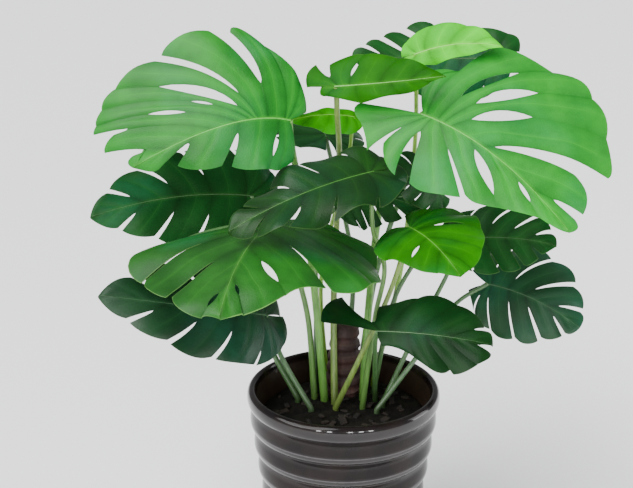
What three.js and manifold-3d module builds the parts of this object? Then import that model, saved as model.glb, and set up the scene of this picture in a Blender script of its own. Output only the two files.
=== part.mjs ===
// A potted swiss cheese plant: a ribbed glazed pot, its soil, the woody stem, and one body for each leaf.
// Millimetres, +Z up. The origin is the middle of the pot's flat base.
import * as THREE from 'three';
import Module from 'manifold-3d';

const wasm = await Module();
wasm.setup();
const { Manifold, Mesh } = wasm;

// Pot
const POT_HEIGHT = 280;
const RIM_RADIUS = 150;
const BASE_RADIUS = 112;
const RIB_COUNT = 6;
const GROOVE_DEPTH = 5;
const LIP_HEIGHT = 27;
const LIP_WALL = 12;
const LIP_INNER_DROP = 4;
const FOOT_HEIGHT = 14;
const FOOT_INSET = 3;
const FOOT_BEVEL = [3, 2];
const POT_WALL = 14;
const POT_FLOOR = 16;
const FLOOR_FILLET = 8;
const POT_SEGMENTS = 36;
// A rib's places, as a share of its height, and how far inside its fullest line they lie.
const RIB_SHAPE = [[0.14, 2], [0.34, 0], [0.72, 1.4]];
// The same for the rolled lip, with heights above its lower edge.
const LIP_SHAPE = [[4, 2], [12, 0], [21, 1], [27, 6]];

// Soil
const SOIL_TOP = 236;
const SOIL_MOUND = 5;
// The mound's places, as a share of the soil's radius and of the mound's height.
const MOUND_SHAPE = [[0.7, 0.6], [0.35, 0.95]];
const FIT_GAP = 0.3;
const WALL_GAP = 0.45;
const HOLE_GAP = 0.6;
const HOLE_BOTTOM = 206;
const HOLE_SIDES = 8;

// Woody stem
const STEM_PLACE = [-1, 68];
const STEM_RADIUS = 29;
const STEM_TOP = 362;
const STEM_FOOT_INSET = 1;
const STEM_COLLAR = [2, 6];
const STEM_RINGS = 5;
const STEM_SIDES = 14;
const STEM_TAPER = 0.9;
const STEM_LEAN = 0.03;
const STEM_LUMPS = 0.03;
// A ring's places, as a share of the way to the next ring, and how far out of the stem's side they lie.
const RING_SHAPE = [[0, 0.9], [0.3, -2.2], [0.85, -1]];
// The blunt top, as shares of the stem's radius and distances below its top.
const STEM_CROWN = [[0.72, 9], [0.4, 2], [0, 0]];
const CROWN_HEIGHT = 14;

// Blades and stalks
const BLADE_THICKNESS = 1.2;
const ROWS = [0, 0.07, 0.34, 0.6, 0.84, 1];
const HOLE_ROWS = [2, 4];
const COLUMNS = 2;
const SEAM_SWEEP = [0.4, 1.6];
const SEAM_TURN = 3;
const SEAM_CURVE = 0.1;
const SEAM_SINK = 0.06;
const FIRST_SEAM_GAP = 0.02;
const LAST_SEAMS = [0.92, 0.95];
const SLIT_OPENING = 0.6;
const SLIT_LEAST = 0.032;
const HOLE_HALF_WIDTH = 0.03;
const HOLE_SLIMNESS = 0.13;
const END_ROUNDING = 0.25;
const END_HOOK = 0.06;
const WAVES_ALONG = 13.8;
const WAVE_SHIFT = 1.7;
const STALK_SIDES = 5;
const STALK_STEPS = 7;
const KNUCKLE = 1.25;
const JOINT_SINK = 0.6;
const STALK_FOOT = 4;
const RIB_TAPER = 0.8;
const RIB_ABOVE = 0.3;

const COLOURS = {
  pot: 0x241a19,
  soil: 0x2c2119,
  wood: 0x4a2c28,
  bright: 0x3fa34a,
  yellow: 0x6fb83a,
  lime: 0x8fcf4a,
  middle: 0x2f7d3e,
  dark: 0x1f5a34,
  bluish: 0x2a5a4c,
};

// How the lobes of one side of a blade follow each other, from the stalk to the tip. A lobe is how far out
// and how far along its end lies, how wide that end is, and where from the midrib the slit after it opens
// and closes again, all as shares of the blade's length or of the way out. A slit at 1 is no slit.
const MATURE = [
  [0.17, -0.18, 0.2, 1],
  [0.4, -0.04, 0.26, 0.7],
  [0.5, 0.27, 0.22, 0.42],
  [0.46, 0.55, 0.19, 0.38],
  [0.31, 0.78, 0.15, 0.42],
  [0.11, 0.95, 0.12, 1],
];
const HOLED = [
  [0.17, -0.18, 0.2, 1],
  [0.38, -0.04, 0.24, 0.5],
  [0.48, 0.26, 0.2, 0.3, 0.72],
  [0.46, 0.52, 0.18, 0.5],
  [0.33, 0.74, 0.16, 0.3, 0.7],
  [0.12, 0.92, 0.12, 1],
];
const FINGERED = [
  [0.2, -0.12, 0.2, 0.4],
  [0.42, 0.02, 0.24, 0.28],
  [0.5, 0.34, 0.24, 0.25],
  [0.44, 0.64, 0.22, 0.28],
  [0.26, 0.86, 0.16, 0.35],
  [0.09, 0.98, 0.09, 1],
];
const YOUNG = [
  [0.14, -0.14, 0.16, 1],
  [0.3, 0.06, 0.24, 1],
  [0.33, 0.4, 0.26, 1],
  [0.22, 0.72, 0.22, 1],
  [0.06, 0.93, 0.1, 1],
];

// A blade starts at "base", passes "middle" and ends at "tip". "up" is the way its upper face looks,
// right and left are the sides seen from that face with the tip ahead. "wide" scales the sides, "fold" lifts
// them beside the midrib, "droop" lets their margins hang, "wave" is how much the margin waves. "sweep" is
// how far the seams between the lobes run back to the stalk, "gap" how wide their slits stand open at the
// margin, and "shine" the roughness of the skin.
const LEAVES = [
  {
    name: 'leaf_big_upper_left', colour: 'bright', shine: 0.4,
    base: [-81, 0, 705], middle: [-178, -20, 701], tip: [-312, -20, 637], up: [0, -1, 0.6],
    right: [
      [0.15, -0.13, 0.14, 1],
      [0.34, 0.03, 0.16, 1],
      [0.58, 0.29, 0.11, 0.36],
      [0.62, 0.6, 0.24, 0.3],
      [0.535, 0.86, 0.17, 0.2, 0.78],
      [0.46, 0.99, 0.1, 0.34, 0.5],
      [0.38, 1.06, 0.08, 0.45, 0.7],
      [0.33, 1.09, 0.05, 0.8],
      [0.21, 1.065, 0.09, 0.5],
      [0.04, 1.01, 0.06, 1],
    ],
    left: [
      [0.3, 0.05, 0.28, 0.25, 0.75],
      [0.29, 0.38, 0.3, 0.27],
      [0.19, 0.72, 0.24, 0.25],
      [0.06, 0.95, 0.08, 1],
    ],
    wide: [1, 1], fold: [0, 0], droop: [0.1, 0.1], wave: 0.012, sweep: [0.8, 1], gap: 1,
    root: [-30, 30], via: [[-44, 48, 400], [-64, 88, 545], [-78, 50, 640]], stalk: [6.2, 4.6],
  },
  {
    name: 'leaf_big_upper_right', colour: 'bright', shine: 0.4,
    base: [113, 0, 715], middle: [219, -50, 664], tip: [318, -110, 573], up: [0.1, -1, 0.7],
    right: [
      [0.1, -0.4, 0.1, 1],
      [0.2, -0.27, 0.14, 0.42],
      [0.28, -0.09, 0.2, 0.25],
      [0.31, 0.33, 0.36, 0.4],
      [0.22, 0.6, 0.17, 0.2, 0.85],
      [0.12, 0.78, 0.16, 0.3, 0.7],
      [0.04, 0.95, 0.1, 1],
    ],
    left: [
      [0.31, 0, 0.2, 0.72],
      [0.59, 0.29, 0.24, 0.3, 0.79],
      [0.67, 0.53, 0.18, 0.3, 0.72],
      [0.6, 0.71, 0.16, 0.18, 0.6],
      [0.45, 0.87, 0.17, 0.12],
      [0.2, 0.93, 0.16, 0.45],
      [0.05, 1.01, 0.07, 1],
    ],
    wide: [1.1, 0.98], fold: [-0.08, 0.02], droop: [0.25, 0.12], wave: 0.014, sweep: [2.2, 1], gap: 1,
    root: [31, 30], via: [[38, 54, 380], [54, 106, 530], [76, 102, 640]], stalk: [6.2, 4.6],
  },
  {
    name: 'leaf_drooping_middle_left', colour: 'middle', shine: 0.4,
    base: [-103, 20, 544], middle: [-145, -110, 535], tip: [-171, -220, 484], up: [0, -0.5, 0.87],
    right: [
      [0.12, 0.04, 0.12, 1],
      [0.28, 0.24, 0.16, 1],
      [0.66, 0.48, 0.4, 0.45],
      [0.44, 0.8, 0.2, 0.4],
      [0.2, 0.97, 0.22, 0.4, 0.8],
      [0.06, 0.99, 0.08, 1],
    ],
    left: [
      [0.28, -0.2, 0.2, 1],
      [0.54, -0.2, 0.26, 1],
      [0.71, 0.08, 0.3, 1],
      [0.66, 0.4, 0.34, 0.35],
      [0.4, 0.62, 0.24, 0.35, 0.8],
      [0.22, 0.86, 0.22, 0.3, 0.6],
      [0.06, 0.97, 0.08, 1],
    ],
    wide: [1, 1], fold: [-0.16, 0], droop: [0.25, 0.2], wave: 0.02, sweep: [1, 1], gap: 0.3,
    root: [-46, 40], via: [[-58, 56, 380], [-84, 72, 470]], stalk: [5, 3.8],
  },
  {
    name: 'leaf_far_left_above', colour: 'dark', shine: 0.45,
    base: [-145, 106, 555], middle: [-262, 62, 566], tip: [-385, 20, 547], up: [0, -0.88, 0.48],
    right: MATURE, left: MATURE,
    wide: [0.6, 0.62], fold: [0.05, 0.1], droop: [0.3, 0.1], wave: 0.02, sweep: [1, 1], gap: 0.4,
    root: [-72, 27], via: [[-120, 60, 330], [-150, 96, 470]], stalk: [4.6, 3.4],
  },
  {
    name: 'leaf_far_left_below', colour: 'bluish', shine: 0.35,
    base: [-118, -16, 404], middle: [-214, -60, 434], tip: [-359, -90, 464], up: [-0.1, -0.7, 0.7],
    right: MATURE, left: MATURE,
    wide: [0.78, 0.62], fold: [0, 0], droop: [0.3, 0.3], wave: 0.02, sweep: [1, 1], gap: 0.45,
    root: [-50, -10], via: [[-96, 14, 320]], stalk: [4.6, 3.6],
  },
  {
    name: 'leaf_bright_right_of_middle', colour: 'yellow', shine: 0.45,
    base: [95, -40, 555], middle: [129, -110, 552], tip: [161, -170, 528], up: [0.1, -0.68, 0.73],
    right: [
      [0.24, -0.16, 0.2, 1],
      [0.46, 0.1, 0.3, 1],
      [0.4, 0.42, 0.26, 0.35, 0.8],
      [0.26, 0.74, 0.22, 1],
      [0.1, 0.94, 0.12, 1],
    ],
    left: [
      [0.28, -0.3, 0.26, 1],
      [0.56, -0.14, 0.3, 1],
      [0.62, 0.2, 0.26, 0.28, 0.8],
      [0.48, 0.6, 0.3, 1],
      [0.28, 0.86, 0.2, 1],
      [0.08, 0.97, 0.08, 1],
    ],
    wide: [1, 1], fold: [0, 0], droop: [0.25, 0.25], wave: 0.02, sweep: [1, 1], gap: 0.3,
    root: [-12, -6], via: [[36, -16, 360], [74, -22, 460]], stalk: [4.6, 3.4],
  },
  {
    name: 'leaf_lower_right', colour: 'dark', shine: 0.4,
    base: [49, -120, 423], middle: [131, -150, 430], tip: [211, -170, 424], up: [0, -0.6, 0.8],
    right: [
      [0.14, 0.2, 0.24, 1],
      [0.32, 0.56, 0.26, 0.8],
      [0.28, 0.82, 0.18, 1],
      [0.14, 0.98, 0.14, 0.1],
      [0.03, 0.9, 0.04, 1],
    ],
    left: [
      [0.28, -0.54, 0.3, 0.25],
      [0.33, 0.12, 0.26, 1],
      [0.42, 0.42, 0.26, 1],
      [0.26, 0.8, 0.24, 0.7],
      [0.1, 0.97, 0.1, 1],
    ],
    wide: [1, 1], fold: [0, 0.05], droop: [0.3, 0.3], wave: 0.02, sweep: [1, 1], gap: 0.8,
    root: [50, 32], via: [[48, -20, 330], [47, -90, 396]], stalk: [4, 3.2],
  },
  {
    name: 'leaf_far_right_below', colour: 'bluish', shine: 0.4,
    base: [228, 110, 409], middle: [302, 85, 392], tip: [370, 55, 357], up: [0, -0.85, 0.53],
    right: FINGERED, left: FINGERED,
    wide: [0.95, 1], fold: [0, 0], droop: [0.15, 0.15], wave: 0.015, sweep: [1, 1], gap: 0.5,
    root: [52, -12], via: [[120, 20, 330], [180, 90, 385]], stalk: [4.2, 3.2],
  },
  {
    name: 'leaf_right_behind', colour: 'dark', shine: 0.45,
    base: [182, 70, 500], middle: [261, 50, 507], tip: [320, 20, 506], up: [0, -0.7, 0.7],
    right: MATURE, left: MATURE,
    wide: [0.8, 0.8], fold: [0, 0], droop: [0.2, 0.2], wave: 0.02, sweep: [1, 1], gap: 0.6,
    root: [62, 14], via: [[110, 50, 340], [160, 84, 430]], stalk: [4.2, 3.2],
  },
  {
    name: 'leaf_top_edge_on', colour: 'yellow', shine: 0.45,
    base: [-14, 20, 751], middle: [67, -10, 765], tip: [141, -40, 781], up: [0, -0.85, 0.53],
    right: YOUNG,
    left: [
      [0.12, -0.26, 0.2, 0.4],
      [0.28, 0.08, 0.24, 0.3, 0.8],
      [0.27, 0.38, 0.22, 1],
      [0.18, 0.68, 0.18, 1],
      [0.05, 0.93, 0.08, 1],
    ],
    wide: [0.4, 1], fold: [0, 0], droop: [0.3, 0.1], wave: 0.02, sweep: [1, 1], gap: 0.6,
    root: [-14, 16], via: [[-16, 60, 400], [-10, 112, 570], [-9, 72, 645], [-12, 34, 705]], stalk: [5.4, 4],
  },
  {
    name: 'leaf_top_lime', colour: 'lime', shine: 0.45,
    base: [104, 90, 784], middle: [166, 70, 804], tip: [229, 40, 807], up: [0, -0.8, 0.6],
    right: YOUNG, left: YOUNG,
    wide: [0.5, 0.85], fold: [0, 0], droop: [0.2, 0.2], wave: 0.01, sweep: [1, 1], gap: 1,
    root: [48, 88], via: [[90, 130, 420], [110, 146, 640]], stalk: [4.4, 3.2],
  },
  {
    name: 'leaf_top_back', colour: 'dark', shine: 0.45,
    base: [229, 190, 757], middle: [133, 200, 754], tip: [10, 200, 757], up: [0, -0.8, 0.6],
    right: [
      [0.16, -0.24, 0.18, 1],
      [0.24, 0.02, 0.24, 0.6],
      [0.27, 0.34, 0.2, 0.25],
      [0.3, 0.6, 0.14, 0.2],
      [0.2, 0.78, 0.08, 0.2],
      [0.12, 0.9, 0.06, 0.3],
      [0.05, 0.99, 0.06, 1],
    ],
    left: MATURE,
    wide: [1, 0.6], fold: [0, 0], droop: [0.1, 0.2], wave: 0.015, sweep: [1, 1], gap: 0.7,
    root: [24, 108], via: [[60, 160, 440], [150, 215, 660]], stalk: [4.8, 3.6],
  },
  {
    name: 'leaf_small_curled', colour: 'lime', shine: 0.45,
    base: [13, 98, 685], middle: [-34, 78, 693], tip: [-84, 58, 689], up: [0, -0.7, 0.7],
    right: YOUNG, left: YOUNG,
    wide: [0.35, 0.9], fold: [0, 0], droop: [0.1, 0.3], wave: 0.03, sweep: [1, 1], gap: 1,
    root: [-28, 108], via: [[-36, 126, 420], [4, 120, 600]], stalk: [3.8, 2.8],
  },
  {
    name: 'leaf_twisted_middle', colour: 'middle', shine: 0.45,
    base: [40, -22, 634], middle: [-65, -68, 612], tip: [-169, -84, 560], up: [0, -0.4, 0.92],
    right: MATURE, left: MATURE,
    wide: [0.55, 0.6], fold: [0.1, 0.1], droop: [0.3, 0.3], wave: 0.04, sweep: [1, 1], gap: 0.4,
    root: [30, 2], via: [[48, -6, 400], [60, -22, 486], [42, -34, 548]], stalk: [4.4, 3.2],
  },
  {
    name: 'leaf_dark_middle', colour: 'dark', shine: 0.45,
    base: [-2, 78, 557], middle: [50, 72, 568], tip: [122, 52, 550], up: [0, -0.85, 0.5],
    right: MATURE, left: HOLED,
    wide: [0.82, 0.46], fold: [0, 0], droop: [0.3, 0.3], wave: 0.02, sweep: [1, 1], gap: 0.5,
    root: [-44, 66], via: [[-44, 92, 400], [-42, 102, 500]], stalk: [4.2, 3.2],
  },
  {
    name: 'leaf_dark_right_of_middle', colour: 'dark', shine: 0.45,
    base: [144, 58, 578], middle: [98, 38, 606], tip: [54, 20, 624], up: [0, -0.7, 0.7],
    right: HOLED, left: MATURE,
    wide: [0.95, 0.75], fold: [0, 0], droop: [0.3, 0.3], wave: 0.02, sweep: [1, 1], gap: 0.5,
    root: [48, 58], via: [[80, 70, 400], [130, 70, 500]], stalk: [4.2, 3.2],
  },
  {
    name: 'leaf_back_middle', colour: 'dark', shine: 0.45,
    base: [-30, 150, 640], middle: [-60, 220, 650], tip: [-100, 290, 610], up: [0, 0.4, 0.92],
    right: MATURE, left: MATURE,
    wide: [1, 1], fold: [0, 0], droop: [0.3, 0.3], wave: 0.02, sweep: [1, 1], gap: 0.5,
    root: [2, 108], via: [[14, 146, 420], [-14, 172, 560]], stalk: [4.6, 3.4],
  },
];

// Small vector helpers
const add = (a, b) => a.map((x, i) => x + b[i]);
const sub = (a, b) => a.map((x, i) => x - b[i]);
const scale = (a, k) => a.map((x) => x * k);
const dot = (a, b) => a.reduce((sum, x, i) => sum + x * b[i], 0);
const cross = (a, b) => [a[1] * b[2] - a[2] * b[1], a[2] * b[0] - a[0] * b[2], a[0] * b[1] - a[1] * b[0]];
const size = (a) => Math.sqrt(dot(a, a));
const unit = (a) => scale(a, 1 / size(a));
const mix = (a, b, k) => a.map((x, i) => x + (b[i] - x) * k);

// The midrib is a bow through the three points, and runs on straight past its ends.
function midribOf(leaf) {
  const bend = sub(scale(leaf.middle, 2), scale(add(leaf.base, leaf.tip), 0.5));
  const at = (t) => {
    const c = Math.min(Math.max(t, 0), 1);
    const ahead = add(scale(sub(bend, leaf.base), 2 * (1 - c)), scale(sub(leaf.tip, bend), 2 * c));
    const on = add(add(scale(leaf.base, (1 - c) ** 2), scale(bend, 2 * c * (1 - c))), scale(leaf.tip, c * c));
    return { point: add(on, scale(ahead, t - c)), ahead: unit(ahead) };
  };
  let length = 0;
  const parts = 40;
  for (let i = 0; i < parts; i += 1) {
    length += size(sub(at((i + 1) / parts).point, at(i / parts).point));
  }
  return { at, length };
}

// A place on the blade's upper face: "out" is across, plus to the right, and "along" is on the midrib.
function surfaceOf(leaf) {
  const { at, length } = midribOf(leaf);
  const place = (out, along, lift) => {
    const { point, ahead } = at(along);
    const face = unit(sub(leaf.up, scale(ahead, dot(leaf.up, ahead))));
    const side = cross(ahead, face);
    const which = out >= 0 ? 0 : 1;
    const away = Math.abs(out);
    const rise = leaf.fold[which] * away - leaf.droop[which] * away * away + lift;
    return add(point, add(scale(side, out * length), scale(face, rise * length)));
  };
  return { place, at, length };
}

// One side's lobes with their ends and corners, and the seams between them, where slits and holes open.
function lobesOf(side, wide, sweep, gap) {
  const lobes = side.map(([out, along, width, slit, close]) => {
    const end = [out * wide, along];
    return { end, width, slit, close };
  });
  const last = lobes.length - 1;
  const seams = [{ start: 0, slit: 1 }];
  for (let i = 0; i < last; i += 1) {
    const out = (lobes[i].end[0] + lobes[i + 1].end[0]) / 2;
    const along = (lobes[i].end[1] + lobes[i + 1].end[1]) / 2;
    const back = sweep * (SEAM_SWEEP[0] + SEAM_SWEEP[1] * Math.max(along, 0) ** SEAM_TURN);
    const start = Math.min(Math.max(along - back * out, seams[i].start + FIRST_SEAM_GAP), LAST_SEAMS[0]);
    seams.push({ start, slit: lobes[i].slit, close: lobes[i].close });
  }
  seams.push({ start: LAST_SEAMS[1], slit: 1 });
  lobes.forEach((lobe, i) => {
    const root = [0, (seams[i].start + seams[i + 1].start) / 2];
    const ahead = unit(sub(lobe.end, root));
    const across = [-ahead[1], ahead[0]];
    const round = sub(lobe.end, scale(ahead, lobe.width * END_ROUNDING));
    const hook = add(lobe.end, scale(ahead, lobe.width * END_HOOK));
    lobe.corners = [sub(round, scale(across, lobe.width / 2)), add(hook, scale(across, lobe.width / 2))];
  });
  lobes[last].corners[1] = [0, 1];
  for (let i = 0; i < last; i += 1) {
    const seam = seams[i + 1];
    const [before, after] = [lobes[i].corners[1], lobes[i + 1].corners[0]];
    const middle = mix(before, after, 0.5);
    seam.end = middle;
    seam.across = unit(sub(lobes[i + 1].end, lobes[i].end));
    if (seam.slit >= 1 || seam.close) {
      lobes[i].corners[1] = middle;
      lobes[i + 1].corners[0] = middle;
    } else if (dot(sub(after, before), seam.across) * gap < SLIT_LEAST) {
      lobes[i].corners[1] = sub(middle, scale(seam.across, SLIT_LEAST / 2));
      lobes[i + 1].corners[0] = add(middle, scale(seam.across, SLIT_LEAST / 2));
    } else {
      lobes[i].corners[1] = mix(middle, before, gap);
      lobes[i + 1].corners[0] = mix(middle, after, gap);
    }
  }
  seams[0].end = lobes[0].corners[0];
  seams[last + 1].end = [0, 1];
  return { lobes, seams };
}

// Where row "row" lies on a seam, so that the slit's ends fall on rows.
function rowPlace(seam, row) {
  const s = ROWS[row];
  const last = ROWS.length - 1;
  const stretch = (from, to, a, b) => a + ((s - from) / (to - from)) * (b - a);
  if (seam.slit >= 1 || row <= 1) {
    return s;
  }
  if (seam.close) {
    const [open, shut] = HOLE_ROWS;
    if (row <= open) {
      return stretch(ROWS[1], ROWS[open], ROWS[1], seam.slit);
    }
    if (row <= shut) {
      return stretch(ROWS[open], ROWS[shut], seam.slit, seam.close);
    }
    return stretch(ROWS[shut], 1, seam.close, 1);
  }
  let open = 2;
  for (let i = 3; i < last; i += 1) {
    if (Math.abs(ROWS[i] - seam.slit) < Math.abs(ROWS[open] - seam.slit)) {
      open = i;
    }
  }
  if (row <= open) {
    return stretch(ROWS[1], ROWS[open], ROWS[1], seam.slit);
  }
  return stretch(ROWS[open], 1, seam.slit, 1);
}

// A point of a lobe's edge on the seam beside it. "hand" is -1 for the edge before the seam and 1 for the
// one after it.
function edgePoint(seam, corner, s, hand) {
  const way = sub(seam.end, [0, seam.start]);
  const curve = -SEAM_CURVE * Math.abs(way[0]) * 4 * s * (1 - s);
  const line = add([0, seam.start], add(scale(way, s), [0, curve]));
  if (seam.slit >= 1 || s <= seam.slit) {
    return line;
  }
  if (seam.close) {
    if (s >= seam.close) {
      return line;
    }
    const open = Math.sin((Math.PI * (s - seam.slit)) / (seam.close - seam.slit));
    const half = Math.min(HOLE_HALF_WIDTH, HOLE_SLIMNESS * size(way) * (seam.close - seam.slit));
    return add(line, scale(seam.across, hand * half * open));
  }
  const open = ((s - seam.slit) / (1 - seam.slit)) ** SLIT_OPENING;
  return add(line, scale(sub(corner, seam.end), open));
}

// The blade as triangles of its upper face, mirrored below, and closed round every margin and hole.
function bladeOf(leaf) {
  const { place } = surfaceOf(leaf);
  const points = [];
  const ribs = [];
  const faces = [];
  const known = new Map();
  const indexOf = (out, along, lift) => {
    const key = `${out.toFixed(5)},${along.toFixed(5)}`;
    if (!known.has(key)) {
      known.set(key, points.length);
      points.push(place(out, along, lift));
      ribs.push(Math.abs(out) < 1e-6 ? leaf.stalk[1] * (1 - RIB_TAPER * along) : 0);
    }
    return known.get(key);
  };
  const sides = [leaf.right, leaf.left].map((side, which) => {
    const hand = which === 0 ? 1 : -1;
    const { lobes, seams } = lobesOf(side, leaf.wide[which], leaf.sweep[which], leaf.gap);
    const columns = lobes.map((lobe, i) => {
      const grid = [];
      for (let c = 0; c <= COLUMNS; c += 1) {
        const k = c / COLUMNS;
        grid.push(ROWS.map((_, row) => {
          const s0 = rowPlace(seams[i], row);
          const s1 = rowPlace(seams[i + 1], row);
          const before = edgePoint(seams[i], lobe.corners[0], s0, 1);
          const after = edgePoint(seams[i + 1], lobe.corners[1], s1, -1);
          const bulge = sub(lobe.end, mix(lobe.corners[0], lobe.corners[1], 0.5));
          const s = s0 + (s1 - s0) * k;
          const at = add(mix(before, after, k), scale(bulge, 4 * k * (1 - k) * s ** 3));
          const margin = s * s;
          const crease = -SEAM_SINK * lobe.width * (2 * k - 1) ** 2;
          const swing = leaf.wave * Math.sin(WAVES_ALONG * at[1] + WAVE_SHIFT * hand);
          return [hand * at[0], at[1], margin * (crease + swing)];
        }));
      }
      return grid;
    });
    return { columns, hand };
  });
  // Both sides share the midrib, so its points are those of either side.
  const onMidrib = new Set();
  sides.forEach(({ columns }) => columns.forEach((grid) => grid.forEach((column) => {
    onMidrib.add(Math.round(column[0][1] * 1e5) / 1e5);
  })));
  const stops = [...onMidrib].sort((a, b) => a - b);
  const corner = (a, b, c, hand) => {
    if (a !== b && b !== c && a !== c) {
      faces.push(hand > 0 ? [a, b, c] : [a, c, b]);
    }
  };
  sides.forEach(({ columns, hand }) => columns.forEach((grid) => {
    for (let c = 0; c < COLUMNS; c += 1) {
      const before = grid[c];
      const after = grid[c + 1];
      const low = Math.round(before[0][1] * 1e5) / 1e5;
      const high = Math.round(after[0][1] * 1e5) / 1e5;
      const run = stops.filter((t) => t >= low && t <= high).map((t) => indexOf(0, t, 0));
      const a1 = indexOf(...before[1]);
      const b1 = indexOf(...after[1]);
      for (let i = 0; i + 1 < run.length; i += 1) {
        corner(run[i], a1, run[i + 1], hand);
      }
      corner(run[run.length - 1], a1, b1, hand);
      for (let row = 1; row + 1 < ROWS.length; row += 1) {
        const a = indexOf(...before[row]);
        const b = indexOf(...after[row]);
        const d = indexOf(...before[row + 1]);
        const e = indexOf(...after[row + 1]);
        corner(a, d, b, hand);
        corner(b, d, e, hand);
      }
    }
  }));
  return thicken(points, faces, ribs);
}

// A sheet of triangles becomes a closed plate, alike above and below. "ribs" is how far the midrib stands
// out of it.
function thicken(points, faces, ribs) {
  const normals = points.map(() => [0, 0, 0]);
  const edges = new Map();
  faces.forEach(([a, b, c]) => {
    const normal = cross(sub(points[b], points[a]), sub(points[c], points[a]));
    [a, b, c].forEach((i) => {
      normals[i] = add(normals[i], normal);
    });
    [[a, b], [b, c], [c, a]].forEach(([i, j]) => {
      const other = `${j},${i}`;
      if (edges.has(other)) {
        edges.delete(other);
      } else {
        edges.set(`${i},${j}`, [i, j]);
      }
    });
  });
  const count = points.length;
  const faceWay = normals.map(unit);
  const upper = points.map((point, i) => add(point, scale(faceWay[i], ribs[i] * RIB_ABOVE)));
  const lower = points.map((point, i) => sub(point, scale(faceWay[i], BLADE_THICKNESS + ribs[i])));
  const closed = [...faces];
  faces.forEach(([a, b, c]) => closed.push([a + count, c + count, b + count]));
  edges.forEach(([a, b]) => closed.push([b, a, a + count], [b, a + count, b + count]));
  return solidOf([...upper, ...lower], closed);
}

function solidOf(points, faces) {
  const mesh = new Mesh({
    numProp: 3,
    vertProperties: new Float32Array(points.flat()),
    triVerts: new Uint32Array(faces.flat()),
  });
  return new Manifold(mesh);
}

// A rod along a curve, thinner towards its end.
function rodOf(path, steps, sides, radius) {
  const points = [];
  const faces = [];
  let side = null;
  for (let i = 0; i <= steps; i += 1) {
    const k = i / steps;
    const ahead = path(k).ahead;
    const rough = side ?? (Math.abs(ahead[0]) < 0.8 ? [1, 0, 0] : [0, 1, 0]);
    side = unit(sub(rough, scale(ahead, dot(rough, ahead))));
    const other = cross(ahead, side);
    for (let j = 0; j < sides; j += 1) {
      const turn = (2 * Math.PI * j) / sides;
      const spoke = add(scale(side, Math.cos(turn)), scale(other, Math.sin(turn)));
      points.push(add(path(k).point, scale(spoke, radius(k))));
    }
  }
  for (let i = 0; i < steps; i += 1) {
    for (let j = 0; j < sides; j += 1) {
      const a = i * sides + j;
      const b = i * sides + ((j + 1) % sides);
      faces.push([a, b, b + sides], [a, b + sides, a + sides]);
    }
  }
  for (let j = 1; j + 1 < sides; j += 1) {
    const end = steps * sides;
    faces.push([0, j + 1, j], [end, end + j, end + j + 1]);
  }
  return solidOf(points, faces);
}

// The stalk stands upright in the soil at "root", then bows through the "via" places to the blade's base.
// "stalk" is its radius at the foot and at the blade.
function stalkOf(leaf) {
  const { at } = midribOf(leaf);
  const { ahead } = at(0);
  const face = unit(sub(leaf.up, scale(ahead, dot(leaf.up, ahead))));
  const joint = sub(leaf.base, scale(face, leaf.stalk[1] * JOINT_SINK));
  const [x, y] = leaf.root;
  const below = [x, y, HOLE_BOTTOM + FIT_GAP];
  const above = [x, y, SOIL_TOP + SOIL_MOUND + STALK_FOOT];
  const stops = [above, ...leaf.via, joint].map((p) => new THREE.Vector3(...p));
  const curve = new THREE.CatmullRomCurve3(stops, false, 'centripetal');
  const first = 1 / (STALK_STEPS + 1);
  const path = (k) => {
    if (k < first * 0.5) {
      return { point: below, ahead: [0, 0, 1] };
    }
    const u = (k - first) / (1 - first);
    const tangent = curve.getTangentAt(u).toArray();
    return { point: curve.getPointAt(u).toArray(), ahead: k < first * 1.5 ? [0, 0, 1] : tangent };
  };
  const radius = (k) => leaf.stalk[0] + (leaf.stalk[1] * (k > 0.99 ? KNUCKLE : 1) - leaf.stalk[0]) * k;
  return rodOf(path, STALK_STEPS + 1, STALK_SIDES, radius);
}

function meshOf(solid, name, colour, roughness) {
  const { vertProperties, triVerts, numProp } = solid.getMesh();
  const geometry = new THREE.BufferGeometry();
  const flat = new Float32Array((vertProperties.length / numProp) * 3);
  for (let i = 0; i < flat.length / 3; i += 1) {
    flat.set(vertProperties.slice(i * numProp, i * numProp + 3), i * 3);
  }
  geometry.setAttribute('position', new THREE.BufferAttribute(flat, 3));
  geometry.setIndex(new THREE.BufferAttribute(new Uint32Array(triVerts), 1));
  geometry.computeVertexNormals();
  const material = new THREE.MeshStandardMaterial({ color: COLOURS[colour], roughness, metalness: 0 });
  material.name = colour;
  const mesh = new THREE.Mesh(geometry, material);
  mesh.name = name;
  return mesh;
}

// A turned body from its outline, given as distance from the axis and height.
function turned(outline, segments) {
  const points = [];
  const rings = outline.map(([r, z]) => {
    const start = points.length;
    const count = r > 0 ? segments : 1;
    for (let j = 0; j < count; j += 1) {
      const turn = (2 * Math.PI * j) / segments;
      points.push([r * Math.cos(turn), r * Math.sin(turn), z]);
    }
    return { start, count };
  });
  const faces = [];
  for (let i = 0; i + 1 < rings.length; i += 1) {
    for (let j = 0; j < segments; j += 1) {
      const next = (j + 1) % segments;
      const a = rings[i].start + (rings[i].count > 1 ? j : 0);
      const b = rings[i].start + (rings[i].count > 1 ? next : 0);
      const c = rings[i + 1].start + (rings[i + 1].count > 1 ? j : 0);
      const d = rings[i + 1].start + (rings[i + 1].count > 1 ? next : 0);
      if (a !== b) {
        faces.push([a, b, d]);
      }
      if (c !== d) {
        faces.push([a, d, c]);
      }
    }
  }
  return solidOf(points, faces);
}

// The pot's side without its ribs leans outwards from the base to the lip.
function sideAt(z) {
  return BASE_RADIUS + ((RIM_RADIUS - BASE_RADIUS) * z) / (POT_HEIGHT - LIP_HEIGHT / 2);
}

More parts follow.
